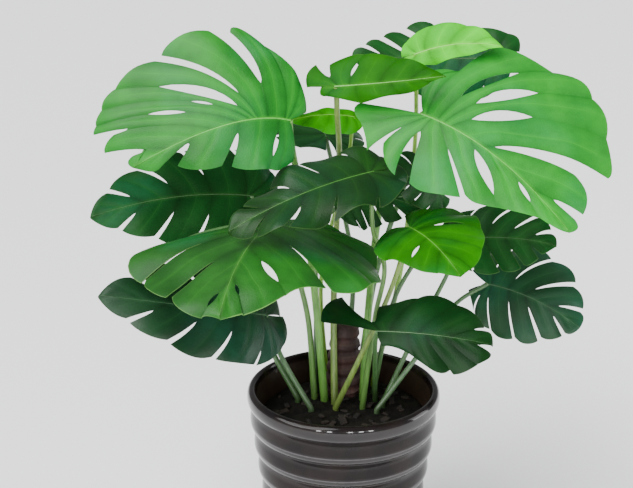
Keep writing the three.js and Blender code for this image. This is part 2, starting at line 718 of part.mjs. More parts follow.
// The inside wall runs straight from the rounded floor to the lip's lower edge.
const INSIDE_LOW = [BASE_RADIUS - POT_WALL, POT_FLOOR + FLOOR_FILLET];
const INSIDE_HIGH = [sideAt(POT_HEIGHT - LIP_HEIGHT) - GROOVE_DEPTH - POT_WALL, POT_HEIGHT - LIP_HEIGHT];

function insideAt(z) {
  const share = (z - INSIDE_LOW[1]) / (INSIDE_HIGH[1] - INSIDE_LOW[1]);
  return INSIDE_LOW[0] + (INSIDE_HIGH[0] - INSIDE_LOW[0]) * share;
}

// The outside runs up from the base over the foot and the ribs to the rolled lip, and the inside back down.
function potOutline() {
  const [bevel, rise] = FOOT_BEVEL;
  const foot = BASE_RADIUS - FOOT_INSET;
  const outline = [[0, 0], [foot - bevel, 0], [foot, rise], [foot, FOOT_HEIGHT - rise]];
  const lip = POT_HEIGHT - LIP_HEIGHT;
  const pitch = (lip - FOOT_HEIGHT) / RIB_COUNT;
  for (let i = 0; i < RIB_COUNT; i += 1) {
    const z = FOOT_HEIGHT + i * pitch;
    const full = sideAt(z + pitch / 2);
    outline.push([sideAt(z) - GROOVE_DEPTH, z]);
    RIB_SHAPE.forEach(([share, inset]) => outline.push([full - inset, z + pitch * share]));
  }
  outline.push([sideAt(lip) - GROOVE_DEPTH, lip]);
  LIP_SHAPE.forEach(([up, inset]) => outline.push([RIM_RADIUS - inset, lip + up]));
  outline.push([RIM_RADIUS - LIP_WALL, POT_HEIGHT - LIP_INNER_DROP]);
  outline.push(INSIDE_HIGH, INSIDE_LOW, [INSIDE_LOW[0] - FLOOR_FILLET, POT_FLOOR], [0, POT_FLOOR]);
  return outline;
}

// The soil fills the pot to a low mound, with a plain hole for each stalk and for the stem.
function soilSolid() {
  const floor = POT_FLOOR + FIT_GAP;
  const top = insideAt(SOIL_TOP) - WALL_GAP;
  const outline = [
    [0, floor],
    [INSIDE_LOW[0] - FLOOR_FILLET - WALL_GAP, floor],
    [INSIDE_LOW[0] - WALL_GAP, INSIDE_LOW[1]],
    [top, SOIL_TOP],
  ];
  MOUND_SHAPE.forEach(([share, rise]) => outline.push([top * share, SOIL_TOP + SOIL_MOUND * rise]));
  outline.push([0, SOIL_TOP + SOIL_MOUND]);
  const plugs = LEAVES.map((leaf) => plug(leaf.root, leaf.stalk[0] + HOLE_GAP));
  plugs.push(plug(STEM_PLACE, STEM_RADIUS + HOLE_GAP, STEM_SIDES));
  return plugs.reduce((soil, hole) => soil.subtract(hole), turned(outline, POT_SEGMENTS));
}

// The room of a hole in the soil, round or many-sided, wide enough for what stands in it.
function plug([x, y], radius, sides = HOLE_SIDES) {
  const clear = radius / Math.cos(Math.PI / sides);
  const room = [[0, HOLE_BOTTOM], [clear, HOLE_BOTTOM], [clear, POT_HEIGHT], [0, POT_HEIGHT]];
  return turned(room, sides).translate([x, y, 0]);
}

// The woody stem keeps the rings where old leaves stood, leans a little and ends in a blunt top.
function stemSolid() {
  const low = HOLE_BOTTOM + FIT_GAP;
  const foot = STEM_RADIUS - STEM_FOOT_INSET;
  const collar = SOIL_TOP + SOIL_MOUND + STEM_COLLAR[0];
  const outline = [[0, low], [foot, low], [foot, collar]];
  const first = SOIL_TOP + SOIL_MOUND + STEM_COLLAR[1];
  const pitch = (STEM_TOP - first - CROWN_HEIGHT) / STEM_RINGS;
  for (let i = 0; i < STEM_RINGS; i += 1) {
    const radius = STEM_RADIUS - i * STEM_TAPER;
    RING_SHAPE.forEach(([share, out]) => outline.push([radius + out, first + (i + share) * pitch]));
  }
  STEM_CROWN.forEach(([share, drop]) => outline.push([STEM_RADIUS * share, STEM_TOP - drop]));
  const lean = (v) => {
    const rise = Math.max(0, v[2] - collar);
    const turn = Math.atan2(v[1], v[0]);
    const lump = rise > 0 ? 1 + STEM_LUMPS * Math.sin(3 * turn + rise / STEM_RADIUS) : 1;
    v[0] = v[0] * lump + STEM_PLACE[0] + rise * STEM_LEAN;
    v[1] = v[1] * lump + STEM_PLACE[1];
  };
  return turned(outline, STEM_SIDES).warp(lean);
}

const plant = new THREE.Group();
plant.name = 'potted_swiss_cheese_plant';
plant.add(meshOf(turned(potOutline(), POT_SEGMENTS), 'pot', 'pot', 0.2));
plant.add(meshOf(soilSolid(), 'soil', 'soil', 0.95));
plant.add(meshOf(stemSolid(), 'main_stem', 'wood', 0.7));
LEAVES.forEach((leaf) => {
  const solid = bladeOf(leaf).add(stalkOf(leaf));
  plant.add(meshOf(solid, leaf.name, leaf.colour, leaf.shine));
});

export default plant;
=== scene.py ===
import math
import random

import bmesh
import bpy
from bpy.props import FloatProperty, FloatVectorProperty, IntProperty, PointerProperty
from bpy.types import Operator, Panel, PropertyGroup
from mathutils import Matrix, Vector, noise


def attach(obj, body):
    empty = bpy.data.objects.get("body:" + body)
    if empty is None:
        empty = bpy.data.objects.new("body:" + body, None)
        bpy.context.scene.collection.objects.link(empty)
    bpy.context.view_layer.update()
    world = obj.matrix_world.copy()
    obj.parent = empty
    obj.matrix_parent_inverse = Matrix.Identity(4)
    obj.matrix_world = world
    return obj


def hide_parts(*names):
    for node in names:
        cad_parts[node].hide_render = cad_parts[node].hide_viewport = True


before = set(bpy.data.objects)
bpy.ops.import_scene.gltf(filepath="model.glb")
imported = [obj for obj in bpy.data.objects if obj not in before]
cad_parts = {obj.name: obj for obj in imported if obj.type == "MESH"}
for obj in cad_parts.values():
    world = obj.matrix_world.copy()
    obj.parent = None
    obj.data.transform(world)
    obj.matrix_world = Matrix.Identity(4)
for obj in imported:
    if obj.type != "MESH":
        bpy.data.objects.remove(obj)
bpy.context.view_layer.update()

bl_info = {
    "name": "Potted Swiss Cheese Plant",
    "version": (1, 0, 0),
    "blender": (4, 5, 0),
    "location": "View3D > Sidebar > Plant",
    "description": "Dresses the plant's frame with veined leaves, stalks, stem, soil and a glazed pot",
    "category": "Object",
}

MM = 0.001

# The camera stands where the photograph was taken from.
CAMERA_PLACE = (0.0, -2.0845, 1.2520)
CAMERA_TURN = (70.49, 0.0, 1.15)
SENSOR_WIDTH = 36.0
LENS = 83.72
VIEW_END = 100

# Panes of light stand round the front like a far row of windows: degrees from the front, and metres.
PANES = (-27, -15, 8, 20, 31)
PANE_REACH = 2.9
PANE_HEIGHT = 1.0
PANE_SIZE = (0.26, 0.6)
PANE_AIM = (0, 0, 0.25)
SUN_WIDTH = 60
SUN_TURN = (22, -38, 0)
SIDE_PLACE = (2.4, 0.3, 0.9)
SIDE_AIM = (0, 0, 0.3)
SIDE_SIZE = (1.2, 1.4)
ROOM_TINT = (0.97, 0.985, 1.0, 1.0)
FLOOR_SIZE = 60

# Lobes from the stalk to the tip: out, along, width, where the slit after it opens, where it closes, and
# the share of a usual hole's width that it has.
MATURE = [
    (0.17, -0.18, 0.2, 1), (0.4, -0.04, 0.26, 0.7), (0.5, 0.27, 0.22, 0.42), (0.46, 0.55, 0.19, 0.38),
    (0.31, 0.78, 0.15, 0.42), (0.11, 0.95, 0.12, 1),
]
HOLED = [
    (0.17, -0.18, 0.2, 1), (0.38, -0.04, 0.24, 0.5), (0.48, 0.26, 0.2, 0.3, 0.72), (0.46, 0.52, 0.18, 0.5),
    (0.33, 0.74, 0.16, 0.3, 0.7), (0.12, 0.92, 0.12, 1),
]
FINGERED = [
    (0.2, -0.12, 0.2, 0.4), (0.42, 0.02, 0.24, 0.28), (0.5, 0.34, 0.24, 0.25), (0.44, 0.64, 0.22, 0.28),
    (0.26, 0.86, 0.16, 0.35), (0.09, 0.98, 0.09, 1),
]
YOUNG = [
    (0.14, -0.14, 0.16, 1), (0.3, 0.06, 0.24, 1), (0.33, 0.4, 0.26, 1), (0.22, 0.72, 0.22, 1),
    (0.06, 0.93, 0.1, 1),
]

# The same leaves as the frame's, in millimetres. light says how light the right and the left half are:
# a factor on their colour as painted light and shade, lighter as if lit above 1 and darker as if shaded below
# 1.
LEAVES = [
    dict(
        name="big_upper_left", colour="bright", light=(0.82, 0.7),
        base=(-81, 0, 705), middle=(-178, -20, 701), tip=(-312, -20, 637), up=(0, -1, 0.6),
        right=[
            (0.15, -0.13, 0.14, 1), (0.34, 0.03, 0.16, 1), (0.58, 0.29, 0.11, 0.36), (0.62, 0.6, 0.24, 0.3),
            (0.535, 0.86, 0.17, 0.2, 0.78), (0.46, 0.99, 0.1, 0.34, 0.5, 0.4),
            (0.38, 1.06, 0.08, 0.45, 0.7, 0.45), (0.33, 1.09, 0.05, 0.8), (0.21, 1.065, 0.09, 0.5),
            (0.04, 1.01, 0.06, 1),
        ],
        left=[
            (0.3, 0.05, 0.28, 0.25, 0.75), (0.29, 0.38, 0.3, 0.27), (0.19, 0.72, 0.24, 0.25),
            (0.06, 0.95, 0.08, 1),
        ],
        wide=(1, 1), fold=(0, 0), droop=(0.1, 0.1), wave=0.012, sweep=(0.8, 1), gap=1,
        root=(-30, 30), via=[(-44, 48, 400), (-64, 88, 545), (-78, 50, 640)], stalk=(6.2, 4.6),
    ),
    dict(
        name="big_upper_right", colour="bright",
        base=(113, 0, 715), middle=(219, -50, 664), tip=(318, -110, 573), up=(0.1, -1, 0.7),
        right=[
            (0.1, -0.4, 0.1, 1), (0.2, -0.27, 0.14, 0.42), (0.28, -0.09, 0.2, 0.25),
            (0.31, 0.33, 0.36, 0.4), (0.22, 0.6, 0.17, 0.2, 0.85), (0.12, 0.78, 0.16, 0.3, 0.7),
            (0.04, 0.95, 0.1, 1),
        ],
        left=[
            (0.31, 0, 0.2, 0.72), (0.59, 0.29, 0.24, 0.3, 0.79), (0.67, 0.53, 0.18, 0.3, 0.72),
            (0.6, 0.71, 0.16, 0.18, 0.6), (0.45, 0.87, 0.17, 0.12), (0.2, 0.93, 0.16, 0.45),
            (0.05, 1.01, 0.07, 1),
        ],
        wide=(1.1, 0.98), fold=(-0.08, 0.02), droop=(0.25, 0.12), wave=0.014, sweep=(2.2, 1), gap=1,
        root=(31, 30), via=[(38, 54, 380), (54, 106, 530), (76, 102, 640)], stalk=(6.2, 4.6),
    ),
    dict(
        name="drooping_middle_left", colour="middle", light=(0.9, 1.25),
        base=(-103, 20, 544), middle=(-145, -110, 535), tip=(-171, -220, 484), up=(0, -0.5, 0.87),
        right=[
            (0.12, 0.04, 0.12, 1), (0.28, 0.24, 0.16, 1), (0.66, 0.48, 0.4, 0.45), (0.44, 0.8, 0.2, 0.4),
            (0.2, 0.97, 0.22, 0.4, 0.8), (0.06, 0.99, 0.08, 1),
        ],
        left=[
            (0.28, -0.2, 0.2, 1), (0.54, -0.2, 0.26, 1), (0.71, 0.08, 0.3, 1), (0.66, 0.4, 0.34, 0.35),
            (0.4, 0.62, 0.24, 0.35, 0.8), (0.22, 0.86, 0.22, 0.3, 0.6), (0.06, 0.97, 0.08, 1),
        ],
        wide=(1, 1), fold=(-0.16, 0), droop=(0.25, 0.2), wave=0.02, sweep=(1, 1), gap=0.3,
        root=(-46, 40), via=[(-58, 56, 380), (-84, 72, 470)], stalk=(5, 3.8),
    ),
    dict(
        name="far_left_above", colour="dark",
        base=(-145, 106, 555), middle=(-262, 62, 566), tip=(-385, 20, 547), up=(0, -0.88, 0.48),
        right=MATURE, left=MATURE,
        wide=(0.6, 0.62), fold=(0.05, 0.1), droop=(0.3, 0.1), wave=0.02, sweep=(1, 1), gap=0.4,
        root=(-72, 27), via=[(-120, 60, 330), (-150, 96, 470)], stalk=(4.6, 3.4),
    ),
    dict(
        name="far_left_below", colour="bluish", light=(0.8, 0.8),
        base=(-118, -16, 404), middle=(-214, -60, 434), tip=(-359, -90, 464), up=(-0.1, -0.7, 0.7),
        right=MATURE, left=MATURE,
        wide=(0.78, 0.62), fold=(0, 0), droop=(0.3, 0.3), wave=0.02, sweep=(1, 1), gap=0.45,
        root=(-50, -10), via=[(-96, 14, 320)], stalk=(4.6, 3.6),
    ),
    dict(
        name="bright_right_of_middle", colour="yellow", light=(0.85, 0.85),
        base=(95, -40, 555), middle=(129, -110, 552), tip=(161, -170, 528), up=(0.1, -0.68, 0.73),
        right=[
            (0.24, -0.16, 0.2, 1), (0.46, 0.1, 0.3, 1), (0.4, 0.42, 0.26, 0.35, 0.8), (0.26, 0.74, 0.22, 1),
            (0.1, 0.94, 0.12, 1),
        ],
        left=[
            (0.28, -0.3, 0.26, 1), (0.56, -0.14, 0.3, 1), (0.62, 0.2, 0.26, 0.28, 0.8), (0.48, 0.6, 0.3, 1),
            (0.28, 0.86, 0.2, 1), (0.08, 0.97, 0.08, 1),
        ],
        wide=(1, 1), fold=(0, 0), droop=(0.25, 0.25), wave=0.02, sweep=(1, 1), gap=0.3,
        root=(-12, -6), via=[(36, -16, 360), (74, -22, 460)], stalk=(4.6, 3.4),
    ),
    dict(
        name="lower_right", colour="dark", light=(0.5, 0.62),
        base=(49, -120, 423), middle=(131, -150, 430), tip=(211, -170, 424), up=(0, -0.6, 0.8),
        right=[
            (0.14, 0.2, 0.24, 1), (0.32, 0.56, 0.26, 0.8), (0.28, 0.82, 0.18, 1), (0.14, 0.98, 0.14, 0.1),
            (0.03, 0.9, 0.04, 1),
        ],
        left=[
            (0.28, -0.54, 0.3, 0.25), (0.33, 0.12, 0.26, 1), (0.42, 0.42, 0.26, 1), (0.26, 0.8, 0.24, 0.7),
            (0.1, 0.97, 0.1, 1),
        ],
        wide=(1, 1), fold=(0, 0.05), droop=(0.3, 0.3), wave=0.02, sweep=(1, 1), gap=0.8,
        root=(50, 32), via=[(48, -20, 330), (47, -90, 396)], stalk=(4, 3.2),
    ),
    dict(
        name="far_right_below", colour="bluish", light=(1.3, 1.3),
        base=(228, 110, 409), middle=(302, 85, 392), tip=(370, 55, 357), up=(0, -0.85, 0.53),
        right=FINGERED, left=FINGERED,
        wide=(0.95, 1), fold=(0, 0), droop=(0.15, 0.15), wave=0.015, sweep=(1, 1), gap=0.5,
        root=(52, -12), via=[(120, 20, 330), (180, 90, 385)], stalk=(4.2, 3.2),
    ),
    dict(
        name="right_behind", colour="dark", light=(1.4, 1.4),
        base=(182, 70, 500), middle=(261, 50, 507), tip=(320, 20, 506), up=(0, -0.7, 0.7),
        right=MATURE, left=MATURE,
        wide=(0.8, 0.8), fold=(0, 0), droop=(0.2, 0.2), wave=0.02, sweep=(1, 1), gap=0.6,
        root=(62, 14), via=[(110, 50, 340), (160, 84, 430)], stalk=(4.2, 3.2),
    ),
    dict(
        name="top_edge_on", colour="yellow", light=(0.7, 0.6),
        base=(-14, 20, 751), middle=(67, -10, 765), tip=(141, -40, 781), up=(0, -0.85, 0.53),
        right=YOUNG,
        left=[
            (0.12, -0.26, 0.2, 0.4), (0.28, 0.08, 0.24, 0.3, 0.8), (0.27, 0.38, 0.22, 1),
            (0.18, 0.68, 0.18, 1), (0.05, 0.93, 0.08, 1),
        ],
        wide=(0.4, 1), fold=(0, 0), droop=(0.3, 0.1), wave=0.02, sweep=(1, 1), gap=0.6,
        root=(-14, 16), via=[(-16, 60, 400), (-10, 112, 570), (-9, 72, 645), (-12, 34, 705)], stalk=(5.4, 4),
    ),
    dict(
        name="top_lime", colour="lime",
        base=(104, 90, 784), middle=(166, 70, 804), tip=(229, 40, 807), up=(0, -0.8, 0.6),
        right=YOUNG, left=YOUNG,
        wide=(0.5, 0.85), fold=(0, 0), droop=(0.2, 0.2), wave=0.01, sweep=(1, 1), gap=1,
        root=(48, 88), via=[(90, 130, 420), (110, 146, 640)], stalk=(4.4, 3.2),
    ),
    dict(
        name="top_back", colour="dark", light=(1.3, 1.3),
        base=(229, 190, 757), middle=(133, 200, 754), tip=(10, 200, 757), up=(0, -0.8, 0.6),
        right=[
            (0.16, -0.24, 0.18, 1), (0.24, 0.02, 0.24, 0.6), (0.27, 0.34, 0.2, 0.25), (0.3, 0.6, 0.14, 0.2),
            (0.2, 0.78, 0.08, 0.2), (0.12, 0.9, 0.06, 0.3), (0.05, 0.99, 0.06, 1),
        ],
        left=MATURE,
        wide=(1, 0.6), fold=(0, 0), droop=(0.1, 0.2), wave=0.015, sweep=(1, 1), gap=0.7,
        root=(24, 108), via=[(60, 160, 440), (150, 215, 660)], stalk=(4.8, 3.6),
    ),
    dict(
        name="small_curled", colour="lime", light=(0.5, 0.6),
        base=(13, 98, 685), middle=(-34, 78, 693), tip=(-84, 58, 689), up=(0, -0.7, 0.7),
        right=YOUNG, left=YOUNG,
        wide=(0.35, 0.9), fold=(0, 0), droop=(0.1, 0.3), wave=0.03, sweep=(1, 1), gap=1,
        root=(-28, 108), via=[(-36, 126, 420), (4, 120, 600)], stalk=(3.8, 2.8),
    ),
    dict(
        name="twisted_middle", colour="middle", light=(0.42, 0.36),
        base=(40, -22, 634), middle=(-65, -68, 612), tip=(-169, -84, 560), up=(0, -0.4, 0.92),
        right=MATURE, left=MATURE,
        wide=(0.55, 0.6), fold=(0.1, 0.1), droop=(0.3, 0.3), wave=0.04, sweep=(1, 1), gap=0.4,
        root=(30, 2), via=[(48, -6, 400), (60, -22, 486), (42, -34, 548)], stalk=(4.4, 3.2),
    ),
    dict(
        name="dark_middle", colour="dark",
        base=(-2, 78, 557), middle=(50, 72, 568), tip=(122, 52, 550), up=(0, -0.85, 0.5),
        right=MATURE, left=HOLED,
        wide=(0.82, 0.46), fold=(0, 0), droop=(0.3, 0.3), wave=0.02, sweep=(1, 1), gap=0.5,
        root=(-44, 66), via=[(-44, 92, 400), (-42, 102, 500)], stalk=(4.2, 3.2),
    ),
    dict(
        name="dark_right_of_middle", colour="dark",
        base=(144, 60, 579), middle=(98, 40, 607), tip=(54, 20, 624), up=(0, -0.7, 0.7),
        right=HOLED, left=MATURE,
        wide=(0.95, 0.75), fold=(0, 0), droop=(0.3, 0.3), wave=0.02, sweep=(1, 1), gap=0.5,
        root=(48, 58), via=[(80, 70, 400), (130, 70, 500)], stalk=(4.2, 3.2),
    ),
    dict(
        name="back_middle", colour="dark",
        base=(-30, 150, 640), middle=(-60, 220, 650), tip=(-100, 290, 610), up=(0, 0.4, 0.92),
        right=MATURE, left=MATURE,
        wide=(1, 1), fold=(0, 0), droop=(0.3, 0.3), wave=0.02, sweep=(1, 1), gap=0.5,
        root=(2, 108), via=[(14, 146, 420), (-14, 172, 560)], stalk=(4.6, 3.4),
    ),
]

# How a blade is drawn: shares of the way from the midrib to the margin, and across each lobe.
ROWS = (
    0, 0.025, 0.06, 0.11, 0.17, 0.23, 0.285, 0.34, 0.4, 0.47, 0.54, 0.6,
    0.66, 0.72, 0.78, 0.84, 0.885, 0.925, 0.96, 0.985, 1,
)
HOLE_ROWS = (7, 15)
COLUMNS = (0, 0.02, 0.06, 0.13, 0.22, 0.33, 0.44, 0.475, 0.5, 0.525, 0.56, 0.67, 0.78, 0.87, 0.94, 0.98, 1)
SEAM_SWEEP = (0.4, 1.6)
SEAM_TURN = 3
SEAM_CURVE = 0.1
SEAM_SINK = 0.085
# PAINTED_LOBE_SHADE: how far a lobe's colour is painted darker at its seams near the midrib, as shade in the
# creases, and lighter in its middle.
PAINTED_LOBE_SHADE = 0.35
FIRST_SEAM_GAP = 0.02
LAST_SEAMS = (0.92, 0.95)
SLIT_OPENING = 0.55
SLIT_LEAST = 0.032
HOLE_HALF_WIDTH = 0.03
HOLE_SLIMNESS = 0.13
END_ROUNDING = 0.25
END_HOOK = 0.06
REAR_TRIM = 0.08
FRONT_TRIM = 0.03
TRIM_TURN = 3
TRIM_START = 0.6
WAVES_ALONG = 13.8
WAVE_SHIFT = 1.7
RIPPLE = 0.02
RIPPLE_SIZE = 4.5
CURL = 0.012
CURL_TURN = 8
BULGE_TURN = 3
RIDGE_HALF_WIDTH = 1.8
RIDGE_FADE = 30
JOINT_SINK = 0.6
STALK_FOOT = 4
STALK_PLANTED = 12
STALK_STEPS = 12
STALK_SIDES = 4
SHEATH = 0.08
SHEATH_REACH = 0.28
SHEATH_START = 0.08
KNUCKLE = 0.26
KNUCKLE_REACH = 3.2
MIDRIB_SIDES = 3
MIDRIB_START = -0.012
MIDRIB_GIRTH = (0.5, 0.43, 0.8)
MIDRIB_SINK = 0.8
MIDRIB_STEPS = 40

# The pot, soil and stem as the frame has them, in metres.
POT_HEIGHT = 0.28
RIM_RADIUS = 0.15
BASE_RADIUS = 0.112
RIBS = 6
LIP_HEIGHT = 0.027
FOOT_HEIGHT = 0.014
FOOT_INSET = 0.003
POT_WALL = 0.014
INSIDE_STEP = 0.019
POT_FLOOR = 0.016
FLOOR_FILLET = 0.008
SOIL_TOP = 0.236
SOIL_MOUND = 0.005
FILLET_BEND = (0.002, 0.0035)
LAST_RING = 0.03
# The foot: height, and how far inside its own radius.
FOOT_SHAPE = (
    (0, 0.004), (0.0004, 0.002), (0.0015, 0.0005), (0.003, 0), (0.008, 0), (0.0115, 0.0005), (0.0132, 0.0022),
)
# A rib from its lower groove to the next: share of its height, and how far in, as a share of the groove.
RIB_SHAPE = (
    (0.03, 1.08), (0.06, 0.8), (0.1, 0.55), (0.14, 0.35), (0.18, 0.215), (0.23, 0.11), (0.28, 0.04),
    (0.33, 0.005), (0.38, 0), (0.44, 0.01), (0.5, 0.026), (0.57, 0.055), (0.64, 0.095), (0.71, 0.15),
    (0.77, 0.21), (0.83, 0.285), (0.88, 0.36), (0.93, 0.455), (0.97, 0.525),
)
# The rolled lip: height above its lower edge, and how far inside the rim's radius.
LIP_SHAPE = (
    (0.0008, 0.0052), (0.0018, 0.0038), (0.003, 0.0027), (0.0045, 0.0017), (0.0065, 0.0009), (0.009, 0.0003),
    (0.012, 0), (0.0152, 0.0001), (0.0182, 0.0005), (0.0208, 0.0012), (0.023, 0.0022), (0.0248, 0.0036),
    (0.0261, 0.0052), (0.0268, 0.0069), (0.027, 0.0084), (0.0267, 0.0099), (0.0258, 0.0112), (0.0243, 0.0123),
    (0.022, 0.0131), (0.019, 0.0139), (0.014, 0.0158), (0.008, 0.0181),
)
# The glaze: how thick the outside is taken to be, the painted highlight line at a rib's lower edge, a grey
# line standing in for light caught on the rib, as shares of its height, where the thick glaze ends above that
# line and where it starts again.
OUTSIDE_DEPTH = 0.0105
HIGHLIGHT_LINE = (0.33, 0.03)
POOL_ENDS = (0.33, 0.1)
POOL_STARTS = (0.76, 0.2)
LIP_GLOSS_DROP = 0.006
INSIDE_DROP = 0.01

# Edges sharper than these angles, in degrees, stay sharp.
SHARP = 50
SOIL_SHARPNESS = 60
FIT_GAP = 0.0003
WALL_GAP = 0.00045
SOIL_SIDES = 120
SOIL_RINGS = 34
SOIL_REACH = 0.124
SOIL_CALM = 0.012
SOIL_LUMPS = 0.0032
SOIL_SETTLED = 0.001
CHIP_SEED = 700
CHIP_REACH = 0.112
STALK_ROOM = 0.014
STEM_ROOM = 0.036

HOLE_BOTTOM = 0.206
STEM_PLACE = (-0.001, 0.068)
STEM_TOP = 0.362
STEM_TAPER = 0.0016
STEM_SIDES = 72
STEM_FOOT_INSET = 0.001
STEM_COLLAR = (0.002, 0.006)
STEM_RINGS = 5
RING_STEPS = 9
RING_SWELL = 0.0009
RING_WAIST = 0.0031
RING_DROP = 0.0015
WAIST_ENDS = 0.6
CROWN_HEIGHT = 0.014
# The stem's blunt top: share of its radius, and how far below the top.
STEM_CROWN = ((0.75, 0.0115), (0.64, 0.008), (0.46, 0.0035), (0.2, 0.0005))
STEM_LEAN = 0.03
STEM_SWAY = 0.03
# Lumps in the stem: size, and how closely they follow each other round and up the stem.
STEM_LUMPS = ((0.02, 3, 60), (0.008, 14, 40))
SCAR_SHARE = 0.12


class PotSettings(PropertyGroup):
    """Sizes and colours of the glazed pot."""

    groove_depth: FloatProperty(
        name="Groove depth", description="How deep the grooves between the ribs are",
        default=0.0065, min=0.002, max=0.01, unit="LENGTH", subtype="DISTANCE",
    )
    segments: IntProperty(
        name="Segments", description="How many sides the turned pot has", default=144, min=24, max=256,
    )
    glaze: FloatVectorProperty(
        name="Glaze", description="Colour of the thick dark glaze", default=(0.0055, 0.0042, 0.0044),
        size=3, min=0, max=1, subtype="COLOR",
    )
    thin_wall: FloatVectorProperty(
        name="Inside", description="Colour of the thinner glaze on the inside wall",
        default=(0.020, 0.0125, 0.008), size=3, min=0, max=1, subtype="COLOR",
    )
    # Painted highlight: the grey of the line painted along each rib where it catches light.
    crest_highlight: FloatVectorProperty(
        name="Thin glaze", description="Colour where the glaze runs thin on the ribs' edges",
        default=(0.075, 0.07, 0.075), size=3, min=0, max=1, subtype="COLOR",
    )


class SoilSettings(PropertyGroup):
    """Sizes and colours of the soil and the bark on it."""

    chip_count: IntProperty(
        name="Bark chips", description="How many chips of bark lie on the soil", default=90, min=0, max=300,
    )
    chip_length: FloatProperty(
        name="Chip length", description="Length of a usual chip of bark",
        default=0.014, min=0.004, max=0.03, unit="LENGTH", subtype="DISTANCE",
    )
    earth: FloatVectorProperty(
        name="Earth", description="Colour of the damp soil", default=(0.0045, 0.0038, 0.0028),
        size=3, min=0, max=1, subtype="COLOR",
    )
    bark: FloatVectorProperty(
        name="Bark", description="Colour of the bark chips", default=(0.010, 0.0065, 0.0045),
        size=3, min=0, max=1, subtype="COLOR",
    )


class StemSettings(PropertyGroup):
    """Size and colour of the woody stem."""

    radius: FloatProperty(
        name="Radius", description="Radius of the stem at the soil",
        default=0.029, min=0.015, max=0.04, unit="LENGTH", subtype="DISTANCE",
    )
    skin: FloatVectorProperty(
        name="Skin", description="Colour of the stem's skin", default=(0.040, 0.016, 0.014),
        size=3, min=0, max=1, subtype="COLOR",
    )


class LeafSettings(PropertyGroup):
    """Sizes and colours of the blades and stalks."""

    thickness: FloatProperty(
        name="Blade thickness", description="Thickness of a blade between its veins",
        default=0.0011, min=0.0006, max=0.002, unit="LENGTH", subtype="DISTANCE",
    )
    vein_depth: FloatProperty(
        name="Vein depth", description="How far a side vein stands out below the blade",
        default=0.0009, min=0, max=0.002, unit="LENGTH", subtype="DISTANCE",
    )
    bright: FloatVectorProperty(
        name="Bright green", description="Colour of the two big upper leaves",
        default=(0.010, 0.165, 0.012), size=3, min=0, max=1, subtype="COLOR",
    )
    yellow: FloatVectorProperty(
        name="Yellow green", description="Colour of the young yellow-green leaves",
        default=(0.012, 0.120, 0.0022), size=3, min=0, max=1, subtype="COLOR",
    )
    lime: FloatVectorProperty(
        name="Lime green", description="Colour of the youngest leaves",
        default=(0.035, 0.370, 0.003), size=3, min=0, max=1, subtype="COLOR",
    )
    middle: FloatVectorProperty(
        name="Mid green", description="Colour of the full-grown leaves",
        default=(0.008, 0.068, 0.0064), size=3, min=0, max=1, subtype="COLOR",
    )
    dark: FloatVectorProperty(
        name="Dark green", description="Colour of the old leaves",
        default=(0.0045, 0.038, 0.0066), size=3, min=0, max=1, subtype="COLOR",
    )
    bluish: FloatVectorProperty(
        name="Bluish green", description="Colour of the shaded lower leaves",
        default=(0.0035, 0.027, 0.008), size=3, min=0, max=1, subtype="COLOR",
    )


class StageSettings(PropertyGroup):
    """The pale floor and the soft light."""

    floor: FloatVectorProperty(
        name="Floor", description="Colour of the plain floor", default=(0.88, 0.88, 0.89),
        size=3, min=0, max=1, subtype="COLOR",
    )
    sky: FloatProperty(
        name="Room light", description="Strength of the even light of the room", default=0.53, min=0, max=4,
    )
    key: FloatProperty(
        name="Key light", description="Strength of the wide soft light from above",
        default=6.5, min=0, max=20,
    )
    side: FloatProperty(
        name="Side light", description="Power of the large pale panel on the right",
        default=35, min=0, max=500,
    )
    panes: FloatProperty(
        name="Panes", description="Power of each pane of light in front", default=13, min=0, max=100,
    )


SETTINGS = {
    "plant_pot": PotSettings,
    "plant_soil": SoilSettings,
    "plant_stem": StemSettings,
    "plant_leaf": LeafSettings,
    "plant_stage": StageSettings,
}


class Signal:
    """One output socket, so that shader maths is written as a Python expression."""

    def __init__(self, finish, socket):
        self.finish = finish
        self.socket = socket

    def out(self, name):
        """Another output of the same node."""
        return Signal(self.finish, self.socket.node.outputs[name])

    def maths(self, operation, first, second):
        """A Math node on two values."""
        return self.finish.add("ShaderNodeMath", {"operation": operation}, {0: first, 1: second})

    def __add__(self, other):
        return self.maths("ADD", self, other)

    def __radd__(self, other):
        return self.maths("ADD", other, self)

    def __rsub__(self, other):
        return self.maths("SUBTRACT", other, self)

    def __mul__(self, other):
        return self.maths("MULTIPLY", self, other)

    def __rmul__(self, other):
        return self.maths("MULTIPLY", other, self)

    def smooth(self, low, high):
        """0 below low, 1 above high, and an even turn between."""
        settings = {"interpolation_type": "SMOOTHSTEP"}
        return self.finish.add("ShaderNodeMapRange", settings, {"Value": self, 1: low, 2: high})


